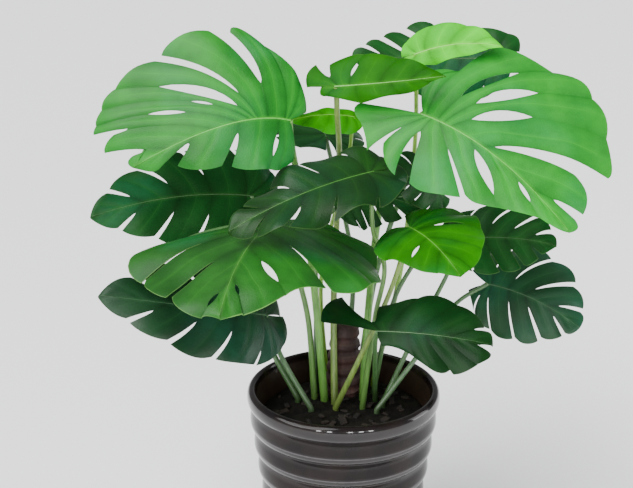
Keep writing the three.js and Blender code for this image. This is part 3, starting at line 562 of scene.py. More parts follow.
class Finish:
    """A material with its nodes."""

    def __init__(self, name):
        self.material = bpy.data.materials.new(name)
        self.material.use_nodes = True
        self.tree = self.material.node_tree
        self.tree.nodes.clear()

    def add(self, kind, settings=None, inputs=None, output=0):
        """Adds a node, sets its settings first, and then its sockets from values or other signals."""
        node = self.tree.nodes.new(kind)
        for key, value in (settings or {}).items():
            setattr(node, key, value)
        for key, value in (inputs or {}).items():
            socket = node.inputs[key]
            if isinstance(value, Signal):
                self.tree.links.new(value.socket, socket)
            elif socket.type == "RGBA" and len(value) == 3:
                socket.default_value = (*value, 1.0)
            else:
                socket.default_value = value
        return Signal(self, node.outputs[output]) if node.outputs else None

    def place(self, stretch=(1, 1, 1)):
        """Object coordinates, drawn out or squeezed along each axis."""
        here = self.add("ShaderNodeTexCoord", output="Object")
        if stretch == (1, 1, 1):
            return here
        return self.add("ShaderNodeMapping", {"vector_type": "POINT"}, {"Vector": here, "Scale": stretch})

    def noise(self, scale, detail, stretch=(1, 1, 1)):
        """Cloudy noise between 0 and 1."""
        inputs = {"Vector": self.place(stretch), "Scale": scale, "Detail": detail}
        return self.add("ShaderNodeTexNoise", None, inputs)

    def cells(self, scale):
        """Distance to the nearest border of a net of cells."""
        inputs = {"Vector": self.place(), "Scale": scale}
        return self.add("ShaderNodeTexVoronoi", {"feature": "DISTANCE_TO_EDGE"}, inputs)

    def value_of(self, name):
        """A number that the piece's mesh carries."""
        return self.add("ShaderNodeAttribute", {"attribute_name": name}, output="Fac")

    def parts_of(self, name):
        """The three numbers of a vector that the piece's mesh carries."""
        carried = self.add("ShaderNodeAttribute", {"attribute_name": name}, output="Vector")
        split = self.add("ShaderNodeSeparateXYZ", None, {"Vector": carried})
        return split, split.out("Y"), split.out("Z")

    def mix(self, share, first, second):
        """One colour over another."""
        return self.add("ShaderNodeMix", {"data_type": "RGBA"}, {0: share, 6: first, 7: second}, 2)

    def scaled(self, colour, strength):
        """A colour made stronger or weaker from place to place."""
        inputs = {0: colour, "Scale": strength}
        return self.add("ShaderNodeVectorMath", {"operation": "SCALE"}, inputs, "Vector")

    def bump(self, height, strength, distance):
        """Small relief from a height."""
        inputs = {"Height": height, "Strength": strength, "Distance": distance}
        return self.add("ShaderNodeBump", None, inputs)

    def surface(self, **sockets):
        """The shader itself. Names are the sockets' own, with _ for a space."""
        inputs = {key.replace("_", " "): value for key, value in sockets.items()}
        shader = self.add("ShaderNodeBsdfPrincipled", None, inputs)
        self.add("ShaderNodeOutputMaterial", None, {"Surface": shader})
        return self.material


def tinted(colour, strength, warmth=0.0):
    """A colour made stronger or weaker, and a little warmer."""
    return tuple(min(1.0, c * strength * (1 + warmth * way)) for c, way in zip(colour, (1.0, 0.35, -0.6)))


def blend(share, first, second):
    """A colour between two others."""
    return tuple((1 - share) * a + share * b for a, b in zip(first, second))


# SHEEN_TINT: the pale bluish green of the painted sheen patches on the blades.
SHEEN_TINT = (0.03, 0.3, 0.2)
PALE_MARGIN = (0.3, 0.42, 0.15)
PALE_UNDERSIDE = (0.12, 0.2, 0.09)
BARE_CLAY = (0.15, 0.085, 0.055)
SCAR_BROWN = (0.07, 0.04, 0.028)


def blade_finish(name, colour, skin):
    """Satin green blade: thin paler veins, a pale line at the margin and a dull, paler underside, with
    painted bluish sheen patches and painted light and shade from the light factor.
    """
    finish = Finish(name)
    rib, vein, edge = finish.parts_of("blade")
    upper = finish.value_of("upper")
    clouds = finish.noise(14.0, 3.0)
    mottle = finish.noise(60.0, 4.0)
    specks = finish.noise(420.0, 2.0)
    net = finish.cells(240.0)

    ground = finish.mix(clouds.smooth(0.3, 0.72), tinted(colour, 0.72, -0.08), tinted(colour, 1.2, 0.08))
    # Painted sheen: broad patches of the blade are painted lighter and bluer, standing in for a glossy
    # reflection.
    sheen_patches = finish.noise(9.0, 1.0)
    sheen_colour = blend(0.12, tinted(colour, 1.15, -0.4), SHEEN_TINT)
    ground = finish.mix(sheen_patches.smooth(0.46, 0.7) * 0.5, ground, sheen_colour)
    ground = finish.mix(mottle.smooth(0.42, 0.7) * 0.35, ground, tinted(colour, 0.7, -0.05))
    ground = finish.mix((1 - vein.smooth(0.0, 9.0)) * 0.3, ground, tinted(colour, 1.25, 0.1))
    net_line = 1 - net.smooth(0.0, 0.09)
    ground = finish.mix(net_line * 0.14, ground, tinted(colour, 1.35, 0.15))
    vein_line = (1 - vein.smooth(0.25, 0.95)) * edge.smooth(1.0, 24.0)
    rib_glow = 1 - rib.smooth(1.2, 5.0)
    pale = blend(0.55, tinted(colour, 1.5, 0.1), skin["rib"])
    ground = finish.mix(vein_line * skin["vein"], ground, pale)
    ground = finish.mix(rib_glow * 0.35, ground, pale)
    margin = 1 - edge.smooth(0.25, 1.1)
    ground = finish.mix(margin * skin["margin"], ground, blend(0.25, skin["rib"], PALE_MARGIN))

    below = blend(0.35, tinted(colour, 1.2), PALE_UNDERSIDE)
    under = finish.mix(vein_line * 0.6 + net_line * 0.12, below, tinted(below, 1.5, 0.1))
    body = finish.mix(upper.smooth(0.3, 0.7), under, ground)
    cut = 4 * upper * (1 - upper)
    body = finish.mix(cut.smooth(0.1, 0.5) * 0.6, body, pale)
    # Painted light and shade: the colour is scaled by the mesh's light factor.
    body = finish.scaled(body, finish.value_of("light"))

    pillow = vein.smooth(0.0, 10.0) * 0.9 + net.smooth(0.0, 0.16) * 0.16 + specks * 0.1
    rough = 0.28 + clouds * 0.16 + specks * 0.06 + (1 - upper) * 0.25
    return finish.surface(
        Base_Color=body, Roughness=rough, IOR=1.45, Specular_IOR_Level=skin["gloss"],
        Normal=finish.bump(pillow, 0.45, 0.0012),
    )


def stalk_finish(name, colour):
    """Smooth stalk, paler towards the blade, browner at the soil, with fine streaks and specks."""
    finish = Finish(name)
    height = finish.add("ShaderNodeSeparateXYZ", None, {"Vector": finish.place()}, "Z")
    streaks = finish.noise(320.0, 3.0, (1, 1, 0.05))
    specks = finish.noise(900.0, 1.0)
    body = finish.mix(streaks.smooth(0.3, 0.7), tinted(colour, 0.78), tinted(colour, 1.18, 0.08))
    body = finish.mix((1 - height.smooth(0.238, 0.30)) * 0.75, body, tinted(colour, 0.3, 0.3))
    body = finish.mix(specks.smooth(0.62, 0.74) * 0.35, body, tinted(colour, 1.5, 0.1))
    relief = streaks * 0.7 + specks * 0.3
    return finish.surface(
        Base_Color=body, Roughness=0.34 + streaks * 0.14, IOR=1.45, Normal=finish.bump(relief, 0.35, 0.0006),
        Coat_Weight=0.1, Coat_Roughness=0.3,
    )


def midribs_finish(name, colour):
    """The pale midrib that runs through a blade."""
    finish = Finish(name)
    streaks = finish.noise(260.0, 3.0)
    body = finish.mix(streaks.smooth(0.3, 0.7), tinted(colour, 0.85), tinted(colour, 1.15, 0.05))
    rough = 0.36 + streaks * 0.1
    return finish.surface(Base_Color=body, Roughness=rough, Coat_Weight=0.1, Coat_Roughness=0.3)


def glaze_finish(settings):
    """Near-black glaze, glassy where it pools under the ribs, with a grey painted highlight line along each
    rib, over a bare clay foot.
    """
    finish = Finish("glaze")
    here = finish.place()
    split = finish.add("ShaderNodeSeparateXYZ", None, {"Vector": here})
    thin, pooled, inside = finish.parts_of("glaze")
    clouds = finish.noise(22.0, 4.0)
    drops = finish.noise(150.0, 3.0, (1, 1, 0.6))
    crawl = finish.noise(620.0, 2.0)
    body = finish.mix(clouds.smooth(0.35, 0.7), settings.glaze, tinted(settings.glaze, 1.7, 0.2))
    body = finish.mix(drops.smooth(0.55, 0.75) * 0.2, body, tinted(settings.glaze, 2.6, 0.2))
    body = finish.mix(inside * (0.5 + clouds), body, settings.thin_wall)
    # Painted highlight: a grey line along each rib near its fullest part, where the rib catches light.
    line = thin * (0.5 + drops * 0.8)
    body = finish.mix(line.smooth(0.2, 0.9) * 0.7, body, settings.crest_highlight)
    clay = 1 - split.out("Z").smooth(0.0006, 0.0022)
    body = finish.mix(clay, body, BARE_CLAY)
    rough = 0.12 + clouds * 0.05 + line * 0.08 + inside * 0.25 + clay * 0.6
    relief = clouds * 0.5 + drops * 0.35 + crawl * 0.05
    return finish.surface(
        Base_Color=body, Roughness=rough, IOR=1.22, Normal=finish.bump(relief, 0.18, 0.001),
        Coat_Weight=(0.12 + pooled * 0.55) * (1 - clay), Coat_Roughness=0.05,
    )


def earth_finish(settings):
    """Damp, crumbly soil."""
    finish = Finish("earth")
    clods = finish.noise(70.0, 5.0)
    grains = finish.noise(480.0, 3.0)
    dry, damp = tinted(settings.earth, 1.5, 0.15), tinted(settings.earth, 0.6)
    body = finish.mix(clods.smooth(0.35, 0.65), damp, dry)
    body = finish.mix(grains.smooth(0.58, 0.72) * 0.5, body, tinted(settings.earth, 3.2, 0.2))
    return finish.surface(
        Base_Color=body, Roughness=0.82 + grains * 0.16, Specular_IOR_Level=0.2,
        Normal=finish.bump(clods * 0.6 + grains * 0.4, 0.9, 0.003),
    )


def bark_finish(settings):
    """Fibrous chips of bark in several browns."""
    finish = Finish("bark")
    tone = finish.noise(45.0, 2.0)
    fibres = finish.noise(520.0, 4.0, (1, 0.2, 1))
    body = finish.mix(tone.smooth(0.35, 0.65), tinted(settings.bark, 0.55), tinted(settings.bark, 1.7, 0.2))
    body = finish.mix(fibres.smooth(0.4, 0.7) * 0.45, body, tinted(settings.bark, 0.35))
    return finish.surface(Base_Color=body, Roughness=0.9, Normal=finish.bump(fibres, 0.7, 0.0015))


def wood_finish(settings):
    """Maroon-brown skin of the old stem with pale scars and dry fibres."""
    finish = Finish("stem_skin")
    scar = finish.value_of("scar")
    fibres = finish.noise(230.0, 5.0, (1, 1, 0.12))
    patches = finish.noise(38.0, 3.0)
    body = finish.mix(patches.smooth(0.35, 0.7), tinted(settings.skin, 0.6), tinted(settings.skin, 1.5, 0.1))
    body = finish.mix(fibres.smooth(0.45, 0.7) * 0.5, body, tinted(settings.skin, 0.35))
    body = finish.mix(scar.smooth(0.35, 0.95) * 0.35, body, SCAR_BROWN)
    return finish.surface(
        Base_Color=body, Roughness=0.62 + fibres * 0.25,
        Normal=finish.bump(fibres * 0.7 + patches * 0.3, 0.8, 0.002),
    )


def floor_finish(settings):
    """Plain pale floor with the faintest cloudiness."""
    finish = Finish("floor")
    clouds = finish.noise(0.6, 2.0)
    body = finish.mix(clouds * 0.5, settings.floor, tinted(settings.floor, 0.985))
    return finish.surface(Base_Color=body, Roughness=0.9)


def drop_selection():
    """Nothing selected and no mesh in edit mode."""
    if bpy.context.object and bpy.context.object.mode != "OBJECT":
        bpy.ops.object.mode_set(mode="OBJECT")
    bpy.ops.object.select_all(action="DESELECT")


def keep(piece, node):
    """The finished piece stands for its CAD node and rides on the one body."""
    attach(piece, "root")
    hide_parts(node)


def smooth_all(piece, degrees):
    """Smooth shading that keeps sharp edges."""
    drop_selection()
    piece.select_set(True)
    bpy.context.view_layer.objects.active = piece
    bpy.ops.object.shade_smooth_by_angle(angle=math.radians(degrees))


def turned_piece(name, profile, segments):
    """A circle is extruded and resized from ring to ring, as a turner follows a profile."""
    drop_selection()
    first_radius, height = profile[0]
    bpy.ops.mesh.primitive_circle_add(
        vertices=segments, radius=first_radius, fill_type="NGON", location=(0, 0, height)
    )
    piece = bpy.context.object
    piece.name = name
    bpy.ops.object.transform_apply(location=True, rotation=True, scale=True)
    bpy.ops.object.mode_set(mode="EDIT")
    bpy.ops.mesh.select_all(action="SELECT")
    radius = first_radius
    for next_radius, next_height in profile[1:]:
        step = {"value": (0, 0, next_height - height)}
        bpy.ops.mesh.extrude_region_move(TRANSFORM_OT_translate=step)
        share = next_radius / radius
        bpy.ops.transform.resize(value=(share, share, 1), center_override=(0, 0, next_height))
        radius, height = next_radius, next_height
    bpy.ops.mesh.select_all(action="SELECT")
    bpy.ops.mesh.normals_make_consistent(inside=False)
    bpy.ops.object.mode_set(mode="OBJECT")
    return piece


def side_at(z):
    """Radius of the pot's side without its ribs."""
    return BASE_RADIUS + (RIM_RADIUS - BASE_RADIUS) * z / (POT_HEIGHT - LIP_HEIGHT / 2)


def climb(share, start, length):
    """0 up to the start, then evenly up to 1."""
    return min(1.0, max(0.0, (share - start) / length))


def inside_ends():
    """The two ends of the pot's straight inside wall."""
    lip = POT_HEIGHT - LIP_HEIGHT
    return (BASE_RADIUS - POT_WALL, POT_FLOOR + FLOOR_FILLET), (side_at(lip) - INSIDE_STEP, lip)


def pot_profile(groove):
    """The pot's outline from the middle of its base, up the ribs, over the lip and down inside."""
    lip = POT_HEIGHT - LIP_HEIGHT
    pitch = (lip - FOOT_HEIGHT) / RIBS
    profile = [(BASE_RADIUS - FOOT_INSET - inset, up) for up, inset in FOOT_SHAPE]
    for rib in range(RIBS):
        low = FOOT_HEIGHT + rib * pitch
        full = side_at(low + pitch / 2)
        profile.append((side_at(low) - groove, low))
        profile += [(full - inset * groove, low + share * pitch) for share, inset in RIB_SHAPE]
    profile.append((side_at(lip) - groove, lip))
    profile += [(RIM_RADIUS - inset, lip + up) for up, inset in LIP_SHAPE]
    low_end, high_end = inside_ends()
    profile.append(high_end)
    profile.append(((low_end[0] + high_end[0]) / 2, (low_end[1] + high_end[1]) / 2))
    profile.append(low_end)
    profile.append((low_end[0] - FILLET_BEND[0], POT_FLOOR + FILLET_BEND[1]))
    profile.append((low_end[0] - FLOOR_FILLET, POT_FLOOR))
    profile.append((LAST_RING, POT_FLOOR))
    return profile


class PLANT_OT_pot(Operator):
    """Turns the ribbed pot and glazes it"""

    bl_idname = "plant.pot"
    bl_label = "Glazed pot"

    def execute(self, context):
        settings = context.scene.plant_pot
        pot = turned_piece("glazed_pot", pot_profile(settings.groove_depth), settings.segments)
        lip = POT_HEIGHT - LIP_HEIGHT
        pitch = (lip - FOOT_HEIGHT) / RIBS
        glaze = pot.data.attributes.new("glaze", "FLOAT_VECTOR", "POINT")
        for vertex, fact in zip(pot.data.vertices, glaze.data):
            x, y, z = vertex.co
            radius = math.hypot(x, y)
            share = ((z - FOOT_HEIGHT) / pitch) % 1.0
            outside = radius > side_at(z) - OUTSIDE_DEPTH
            thin, pooled = 0.0, 0.0
            if outside and FOOT_HEIGHT < z < lip:
                # thin marks where the painted highlight line runs along each rib.
                thin = math.exp(-(((share - HIGHLIGHT_LINE[0]) / HIGHLIGHT_LINE[1]) ** 2))
                pooled = 1 - climb(share, *POOL_ENDS) + climb(share, *POOL_STARTS)
            elif outside and z < POT_HEIGHT - LIP_GLOSS_DROP:
                pooled = 1.0
            fact.vector = (thin, pooled, 0.0 if outside or z > POT_HEIGHT - INSIDE_DROP else 1.0)
        pot.data.materials.append(glaze_finish(settings))
        smooth_all(pot, SHARP)
        keep(pot, "pot")
        return {"FINISHED"}


def soil_profile():
    """The soil's outline from the middle of the pot's floor, up the wall and in over the mound."""
    low_end, high_end = inside_ends()
    share = (SOIL_TOP - low_end[1]) / (high_end[1] - low_end[1])
    top = low_end[0] + (high_end[0] - low_end[0]) * share - WALL_GAP
    floor = POT_FLOOR + FIT_GAP
    wall = low_end[0] - WALL_GAP
    profile = [(0.04, floor), (wall - FLOOR_FILLET, floor), (wall, low_end[1])]
    profile += [(top - 0.004, SOIL_TOP - 0.03), (top, SOIL_TOP - 0.002)]
    for i in range(SOIL_RINGS):
        reach = 1 - (i + 1) / (SOIL_RINGS + 1)
        mound = SOIL_MOUND * (1 - reach ** 2)
        profile.append((top * reach, SOIL_TOP + mound))
    return profile


class PLANT_OT_soil(Operator):
    """Fills the pot with soil and strews bark on it"""

    bl_idname = "plant.soil"
    bl_label = "Soil and bark"

    def execute(self, context):
        settings = context.scene.plant_soil
        soil = turned_piece("potting_soil", soil_profile(), SOIL_SIDES)
        for vertex in soil.data.vertices:
            x, y, z = vertex.co
            radius = math.hypot(x, y)
            if z > SOIL_TOP - 0.001:
                calm = min(1.0, (SOIL_REACH - radius) / SOIL_CALM)
                lump = noise.fractal(vertex.co * 60, 0.8, 2.2, 4)
                vertex.co.z += max(0.0, calm) * (SOIL_LUMPS * lump - SOIL_SETTLED)
        soil.data.materials.append(earth_finish(settings))
        chips = [self.chip(settings, number) for number in range(settings.chip_count)]
        bark = bark_finish(settings)
        smooth_all(soil, SOIL_SHARPNESS)
        drop_selection()
        for chip in filter(None, chips):
            chip.data.materials.append(bark)
            chip.select_set(True)
        soil.select_set(True)
        context.view_layer.objects.active = soil
        bpy.ops.object.join()
        keep(soil, "soil")
        return {"FINISHED"}

    def chip(self, settings, number):
        """One flat, broken piece of bark that lies on the soil clear of the stalks."""
        draw = random.Random(CHIP_SEED + number)
        turn = draw.uniform(0, 2 * math.pi)
        reach = CHIP_REACH * math.sqrt(draw.random())
        x, y = reach * math.cos(turn), reach * math.sin(turn)
        roots = [(leaf["root"][0] * MM, leaf["root"][1] * MM, STALK_ROOM) for leaf in LEAVES]
        roots.append((*STEM_PLACE, STEM_ROOM))
        if any(math.hypot(x - a, y - b) < room for a, b, room in roots):
            return None
        length = settings.chip_length * draw.uniform(0.6, 1.5)
        width = length * draw.uniform(0.35, 0.7)
        height = draw.uniform(0.0022, 0.0042)
        drop_selection()
        bpy.ops.mesh.primitive_cube_add(size=1)
        chip = bpy.context.object
        chip.scale = (length, width, height)
        bpy.ops.object.transform_apply(location=False, rotation=False, scale=True)
        bpy.ops.object.mode_set(mode="EDIT")
        bpy.ops.mesh.bevel(offset=height * 0.3, segments=1)
        bpy.ops.mesh.subdivide(number_cuts=1)
        bpy.ops.object.mode_set(mode="OBJECT")
        for vertex in chip.data.vertices:
            shove = noise.noise_vector(vertex.co * 180 + Vector((number, 0, 0)))
            vertex.co += shove * height * 0.35
        mound = SOIL_MOUND * (1 - (reach / SOIL_REACH) ** 2)
        chip.rotation_euler = (draw.uniform(-0.25, 0.25), draw.uniform(-0.25, 0.25), draw.uniform(0, math.pi))
        chip.location = (x, y, SOIL_TOP + mound + height * 0.25)
        bpy.ops.object.transform_apply(location=True, rotation=True, scale=True)
        return chip


class PLANT_OT_stem(Operator):
    """Raises the woody stem with the scars of old leaves"""

    bl_idname = "plant.stem"
    bl_label = "Woody stem"

    def execute(self, context):
        settings = context.scene.plant_stem
        low = HOLE_BOTTOM + FIT_GAP
        collar, first = (SOIL_TOP + SOIL_MOUND + rise for rise in STEM_COLLAR)
        pitch = (STEM_TOP - first - CROWN_HEIGHT) / STEM_RINGS
        foot = settings.radius - STEM_FOOT_INSET
        profile = [(0.01, low), (foot, low), (foot, collar)]
        for ring in range(STEM_RINGS):
            radius = settings.radius - ring * STEM_TAPER + RING_SWELL
            for i in range(RING_STEPS):
                share = i / RING_STEPS
                if share < WAIST_ENDS:
                    inward = RING_WAIST * math.sin(math.pi * share / WAIST_ENDS) ** 0.8
                else:
                    inward = RING_DROP * (share - WAIST_ENDS) / (1 - WAIST_ENDS)
                profile.append((radius - inward, first + (ring + share) * pitch))
        profile += [(settings.radius * share, STEM_TOP - drop) for share, drop in STEM_CROWN]
        stem = turned_piece("woody_stem", profile, STEM_SIDES)
        scar = stem.data.attributes.new("scar", "FLOAT", "POINT")
        for vertex, value in zip(stem.data.vertices, scar.data):
            x, y, z = vertex.co
            rise = max(0.0, z - collar)
            turn = math.atan2(y, x)
            share = ((z - first) / pitch) % 1.0
            value.value = math.exp(-((min(share, 1 - share) / SCAR_SHARE) ** 2)) if z > collar else 0.0
            lump = 1.0
            if rise > 0:
                lump += STEM_SWAY * math.sin(3 * turn + rise / settings.radius)
                for size, across, up in STEM_LUMPS:
                    spot = Vector((math.cos(turn) * across, math.sin(turn) * across, z * up))
                    lump += size * noise.noise(spot)
            vertex.co.x = x * lump + STEM_PLACE[0] + rise * STEM_LEAN
            vertex.co.y = y * lump + STEM_PLACE[1]
        stem.data.materials.append(wood_finish(settings))
        smooth_all(stem, SHARP)
        keep(stem, "main_stem")
        return {"FINISHED"}


def midrib_of(leaf):
    """The midrib as a bow through its three points, straight past its ends, with its length."""
    base, middle, tip = (Vector(leaf[key]) for key in ("base", "middle", "tip"))
    bend = 2 * middle - (base + tip) / 2

    def at(t):
        c = min(max(t, 0.0), 1.0)
        ahead = 2 * (1 - c) * (bend - base) + 2 * c * (tip - bend)
        on = (1 - c) ** 2 * base + 2 * c * (1 - c) * bend + c * c * tip
        return on + ahead * (t - c), ahead.normalized()

    points = [at(i / MIDRIB_STEPS)[0] for i in range(MIDRIB_STEPS + 1)]
    length = sum((b - a).length for a, b in zip(points, points[1:]))
    return at, length


def face_of(leaf, ahead):
    """The way the upper face looks where the midrib runs ahead."""
    up = Vector(leaf["up"])
    return (up - ahead * up.dot(ahead)).normalized()


def surface_of(leaf):
    """Gives places on the upper face. out is across, plus to the right, and along is on the midrib."""
    at, length = midrib_of(leaf)

    def place(out, along, lift):
        point, ahead = at(along)
        face = face_of(leaf, ahead)
        side = ahead.cross(face)
        which = 0 if out >= 0 else 1
        away = abs(out)
        rise = leaf["fold"][which] * away - leaf["droop"][which] * away * away + lift
        return point + (side * out + face * rise) * length

    return place, at, length


def lobes_of(side, wide, sweep, gap):
    """One side's lobes with their corners, and the seams between them where slits open."""
    lobes = [dict(end=Vector((row[0] * wide, row[1])), width=row[2]) for row in side]
    slits = [dict(zip(("slit", "close", "share"), (*row[3:], *(None, 1)[len(row) - 4:]))) for row in side]
    last = len(lobes) - 1
    seams = [dict(start=0.0, slit=1, close=None)]
    for i in range(last):
        out, along = (lobes[i]["end"] + lobes[i + 1]["end"]) / 2
        back = sweep * (SEAM_SWEEP[0] + SEAM_SWEEP[1] * max(along, 0.0) ** SEAM_TURN)
        start = min(max(along - back * out, seams[i]["start"] + FIRST_SEAM_GAP), LAST_SEAMS[0])
        seams.append(dict(start=start, **slits[i]))
    seams.append(dict(start=LAST_SEAMS[1], slit=1, close=None))
    for i, lobe in enumerate(lobes):
        root = Vector((0.0, (seams[i]["start"] + seams[i + 1]["start"]) / 2))
        ahead = (lobe["end"] - root).normalized()
        across = Vector((-ahead.y, ahead.x)) * lobe["width"] / 2
        rear = lobe["end"] - ahead * lobe["width"] * END_ROUNDING
        hook = lobe["end"] + ahead * lobe["width"] * END_HOOK
        lobe["corners"] = [rear - across, hook + across]
    lobes[last]["corners"][1] = Vector((0.0, 1.0))
    for i in range(last):
        seam, before, after = seams[i + 1], lobes[i]["corners"], lobes[i + 1]["corners"]
        middle = (before[1] + after[0]) / 2
        seam["end"] = middle
        seam["across"] = (lobes[i + 1]["end"] - lobes[i]["end"]).normalized()
        if seam["slit"] >= 1 or seam["close"]:
            before[1] = after[0] = middle
        elif (after[0] - before[1]).dot(seam["across"]) * gap < SLIT_LEAST:
            before[1] = middle - seam["across"] * SLIT_LEAST / 2
            after[0] = middle + seam["across"] * SLIT_LEAST / 2
        else:
            before[1] = middle.lerp(before[1], gap)
            after[0] = middle.lerp(after[0], gap)
    seams[0]["end"] = lobes[0]["corners"][0]
    seams[-1]["end"] = Vector((0.0, 1.0))
    return lobes, seams


def row_place(seam, row):
    """Where a row lies on a seam, so that the ends of its slit or hole fall on rows."""
    s = ROWS[row]

    def stretch(start, end, a, b):
        return a + (s - start) / (end - start) * (b - a)

    slit, close = seam["slit"], seam["close"]
    if slit >= 1 or row <= 1:
        return s
    if close:
        opening, shut = HOLE_ROWS
        if row <= opening:
            return stretch(ROWS[1], ROWS[opening], ROWS[1], slit)
        if row <= shut:
            return stretch(ROWS[opening], ROWS[shut], slit, close)
        return stretch(ROWS[shut], 1, close, 1)
    opening = min(range(2, len(ROWS) - 1), key=lambda i: abs(ROWS[i] - slit))
    if row <= opening:
        return stretch(ROWS[1], ROWS[opening], ROWS[1], slit)
    return stretch(ROWS[opening], 1, slit, 1)


def edge_point(seam, corner, s, hand):
    """A point of a lobe's edge along a seam. hand is -1 before the seam and 1 after it."""
    root = Vector((0.0, seam["start"]))
    way = seam["end"] - root
    line = root + way * s
    line.y -= SEAM_CURVE * abs(way.x) * 4 * s * (1 - s)
    slit, close = seam["slit"], seam["close"]
    if slit >= 1 or s <= slit:
        return line
    if close:
        if s >= close:
            return line
        opening = math.sin(math.pi * (s - slit) / (close - slit)) ** 0.8
        half = min(HOLE_HALF_WIDTH, HOLE_SLIMNESS * way.length * (close - slit)) * seam["share"]
        return line + seam["across"] * hand * half * opening
    opening = ((s - slit) / (1 - slit)) ** SLIT_OPENING
    return line + (corner - seam["end"]) * opening


def is_open(seam):
    """True where a slit runs out through the margin."""
    return seam["slit"] < 1 and not seam["close"]


def trimmed(s, seam, share):
    """Pulls a row back near a lobe's free corner, which rounds it."""
    start = seam["slit"] if is_open(seam) else seam["close"] or TRIM_START
    return s if s <= start else start + (s - start) * share


def margin_distance(s, k, width, way, seams, s_ends):
    """How far a place is from the blade's margin or from a slit's edge, as a share of the blade."""
    nearest = (1 - s) * way
    if is_open(seams[0]) and s_ends[0] > seams[0]["slit"]:
        nearest = min(nearest, k * width)
    if is_open(seams[1]) and s_ends[1] > seams[1]["slit"]:
        nearest = min(nearest, (1 - k) * width)
    return nearest


class Sheet:
    """The points and faces of one blade's upper face, with what its material needs to know."""

    def __init__(self, leaf):
        self.leaf = leaf
        self.place, self.at, self.length = surface_of(leaf)
        self.seed = sum(leaf["base"]) * MM
        self.points, self.facts, self.light, self.faces = [], [], [], []
        self.known = {}

    def index(self, out, along, lift, vein, edge, tone):
        """The number of a point, which neighbouring lobes share."""
        key = (round(out, 5), round(along, 5))
        if key not in self.known:
            self.known[key] = len(self.points)
            self.points.append(self.place(out, along, lift))
            self.facts.append((abs(out) * self.length, vein * self.length, edge * self.length))
            # Painted light and shade: the leaf's light factor for this half, times the lobe's painted crease
            # shade.
            right, left = self.leaf.get("light", (1.0, 1.0))
            self.light.append(tone * (left + (right - left) * min(max(0.5 + out * 8, 0.0), 1.0)))
        return self.known[key]

    def face(self, corners, hand):
        """A face on the upper side, whichever side of the midrib it is on."""
        corners = [c for i, c in enumerate(corners) if c != corners[i - 1]]
        if len(set(corners)) >= 3:
            self.faces.append(corners if hand > 0 else corners[::-1])

    def lobe(self, lobe, seams, hand):
        """The grid of one lobe, column by column across it."""
        free = is_open(seams[0]), is_open(seams[1])
        grid = []
        bulge = lobe["end"] - (lobe["corners"][0] + lobe["corners"][1]) / 2
        for k in COLUMNS:
            share = 1.0
            if free[0] and k < 0.5:
                share = 1 - REAR_TRIM * (1 - 2 * k) ** TRIM_TURN
            if free[1] and k > 0.5:
                share = 1 - FRONT_TRIM * (2 * k - 1) ** TRIM_TURN
            column = []
            for row in range(len(ROWS)):
                s0 = trimmed(row_place(seams[0], row), seams[0], share)
                s1 = trimmed(row_place(seams[1], row), seams[1], share)
                before = edge_point(seams[0], lobe["corners"][0], s0, 1)
                after = edge_point(seams[1], lobe["corners"][1], s1, -1)
                s = s0 + (s1 - s0) * k
                at = before + (after - before) * k + bulge * 4 * k * (1 - k) * s ** BULGE_TURN
                crease = -SEAM_SINK * lobe["width"] * (2 * k - 1) ** 2
                swing = self.leaf["wave"] * math.sin(WAVES_ALONG * at.y + WAVE_SHIFT * hand)
                spot = Vector((hand * at.x, at.y, self.seed)) * RIPPLE_SIZE
                swing += RIPPLE * noise.noise(spot) - CURL * s ** CURL_TURN
                width = (after - before).length
                way = (lobe["end"] - Vector((0, seams[0]["start"]))).length
                edge = margin_distance(ROWS[row], k, width, way, seams, (s0, s1))
                # Painted shade and light: the lobe's colour factor is darker at its seams near the midrib,
                # fading towards the margin, and lighter in its middle.
                tone = 1 + PAINTED_LOBE_SHADE * (0.5 - abs(2 * k - 1) ** 3 * (1.5 - s))
                column.append((hand * at.x, at.y, s * s * (crease + swing), abs(k - 0.5) * width, edge, tone))
            grid.append(column)
        return grid

    def join(self, grids, hand, stops):
        """Faces between neighbouring columns, from the shared stops on the midrib to the margin."""
        for grid in grids:
            for before, after in zip(grid, grid[1:]):
                low, high = round(before[0][1], 5), round(after[0][1], 5)
                run = [self.index(0.0, t, 0.0, 0.0, 1.0, 1.0) for t in stops if low <= t <= high]
                a, b = self.index(*before[1]), self.index(*after[1])
                for near, far in zip(run, run[1:]):
                    self.face([near, a, far], hand)
                self.face([run[-1], a, b], hand)
                for row in range(1, len(ROWS) - 1):
                    corners = [before[row], before[row + 1], after[row + 1], after[row]]
                    self.face([self.index(*corner) for corner in corners], hand)


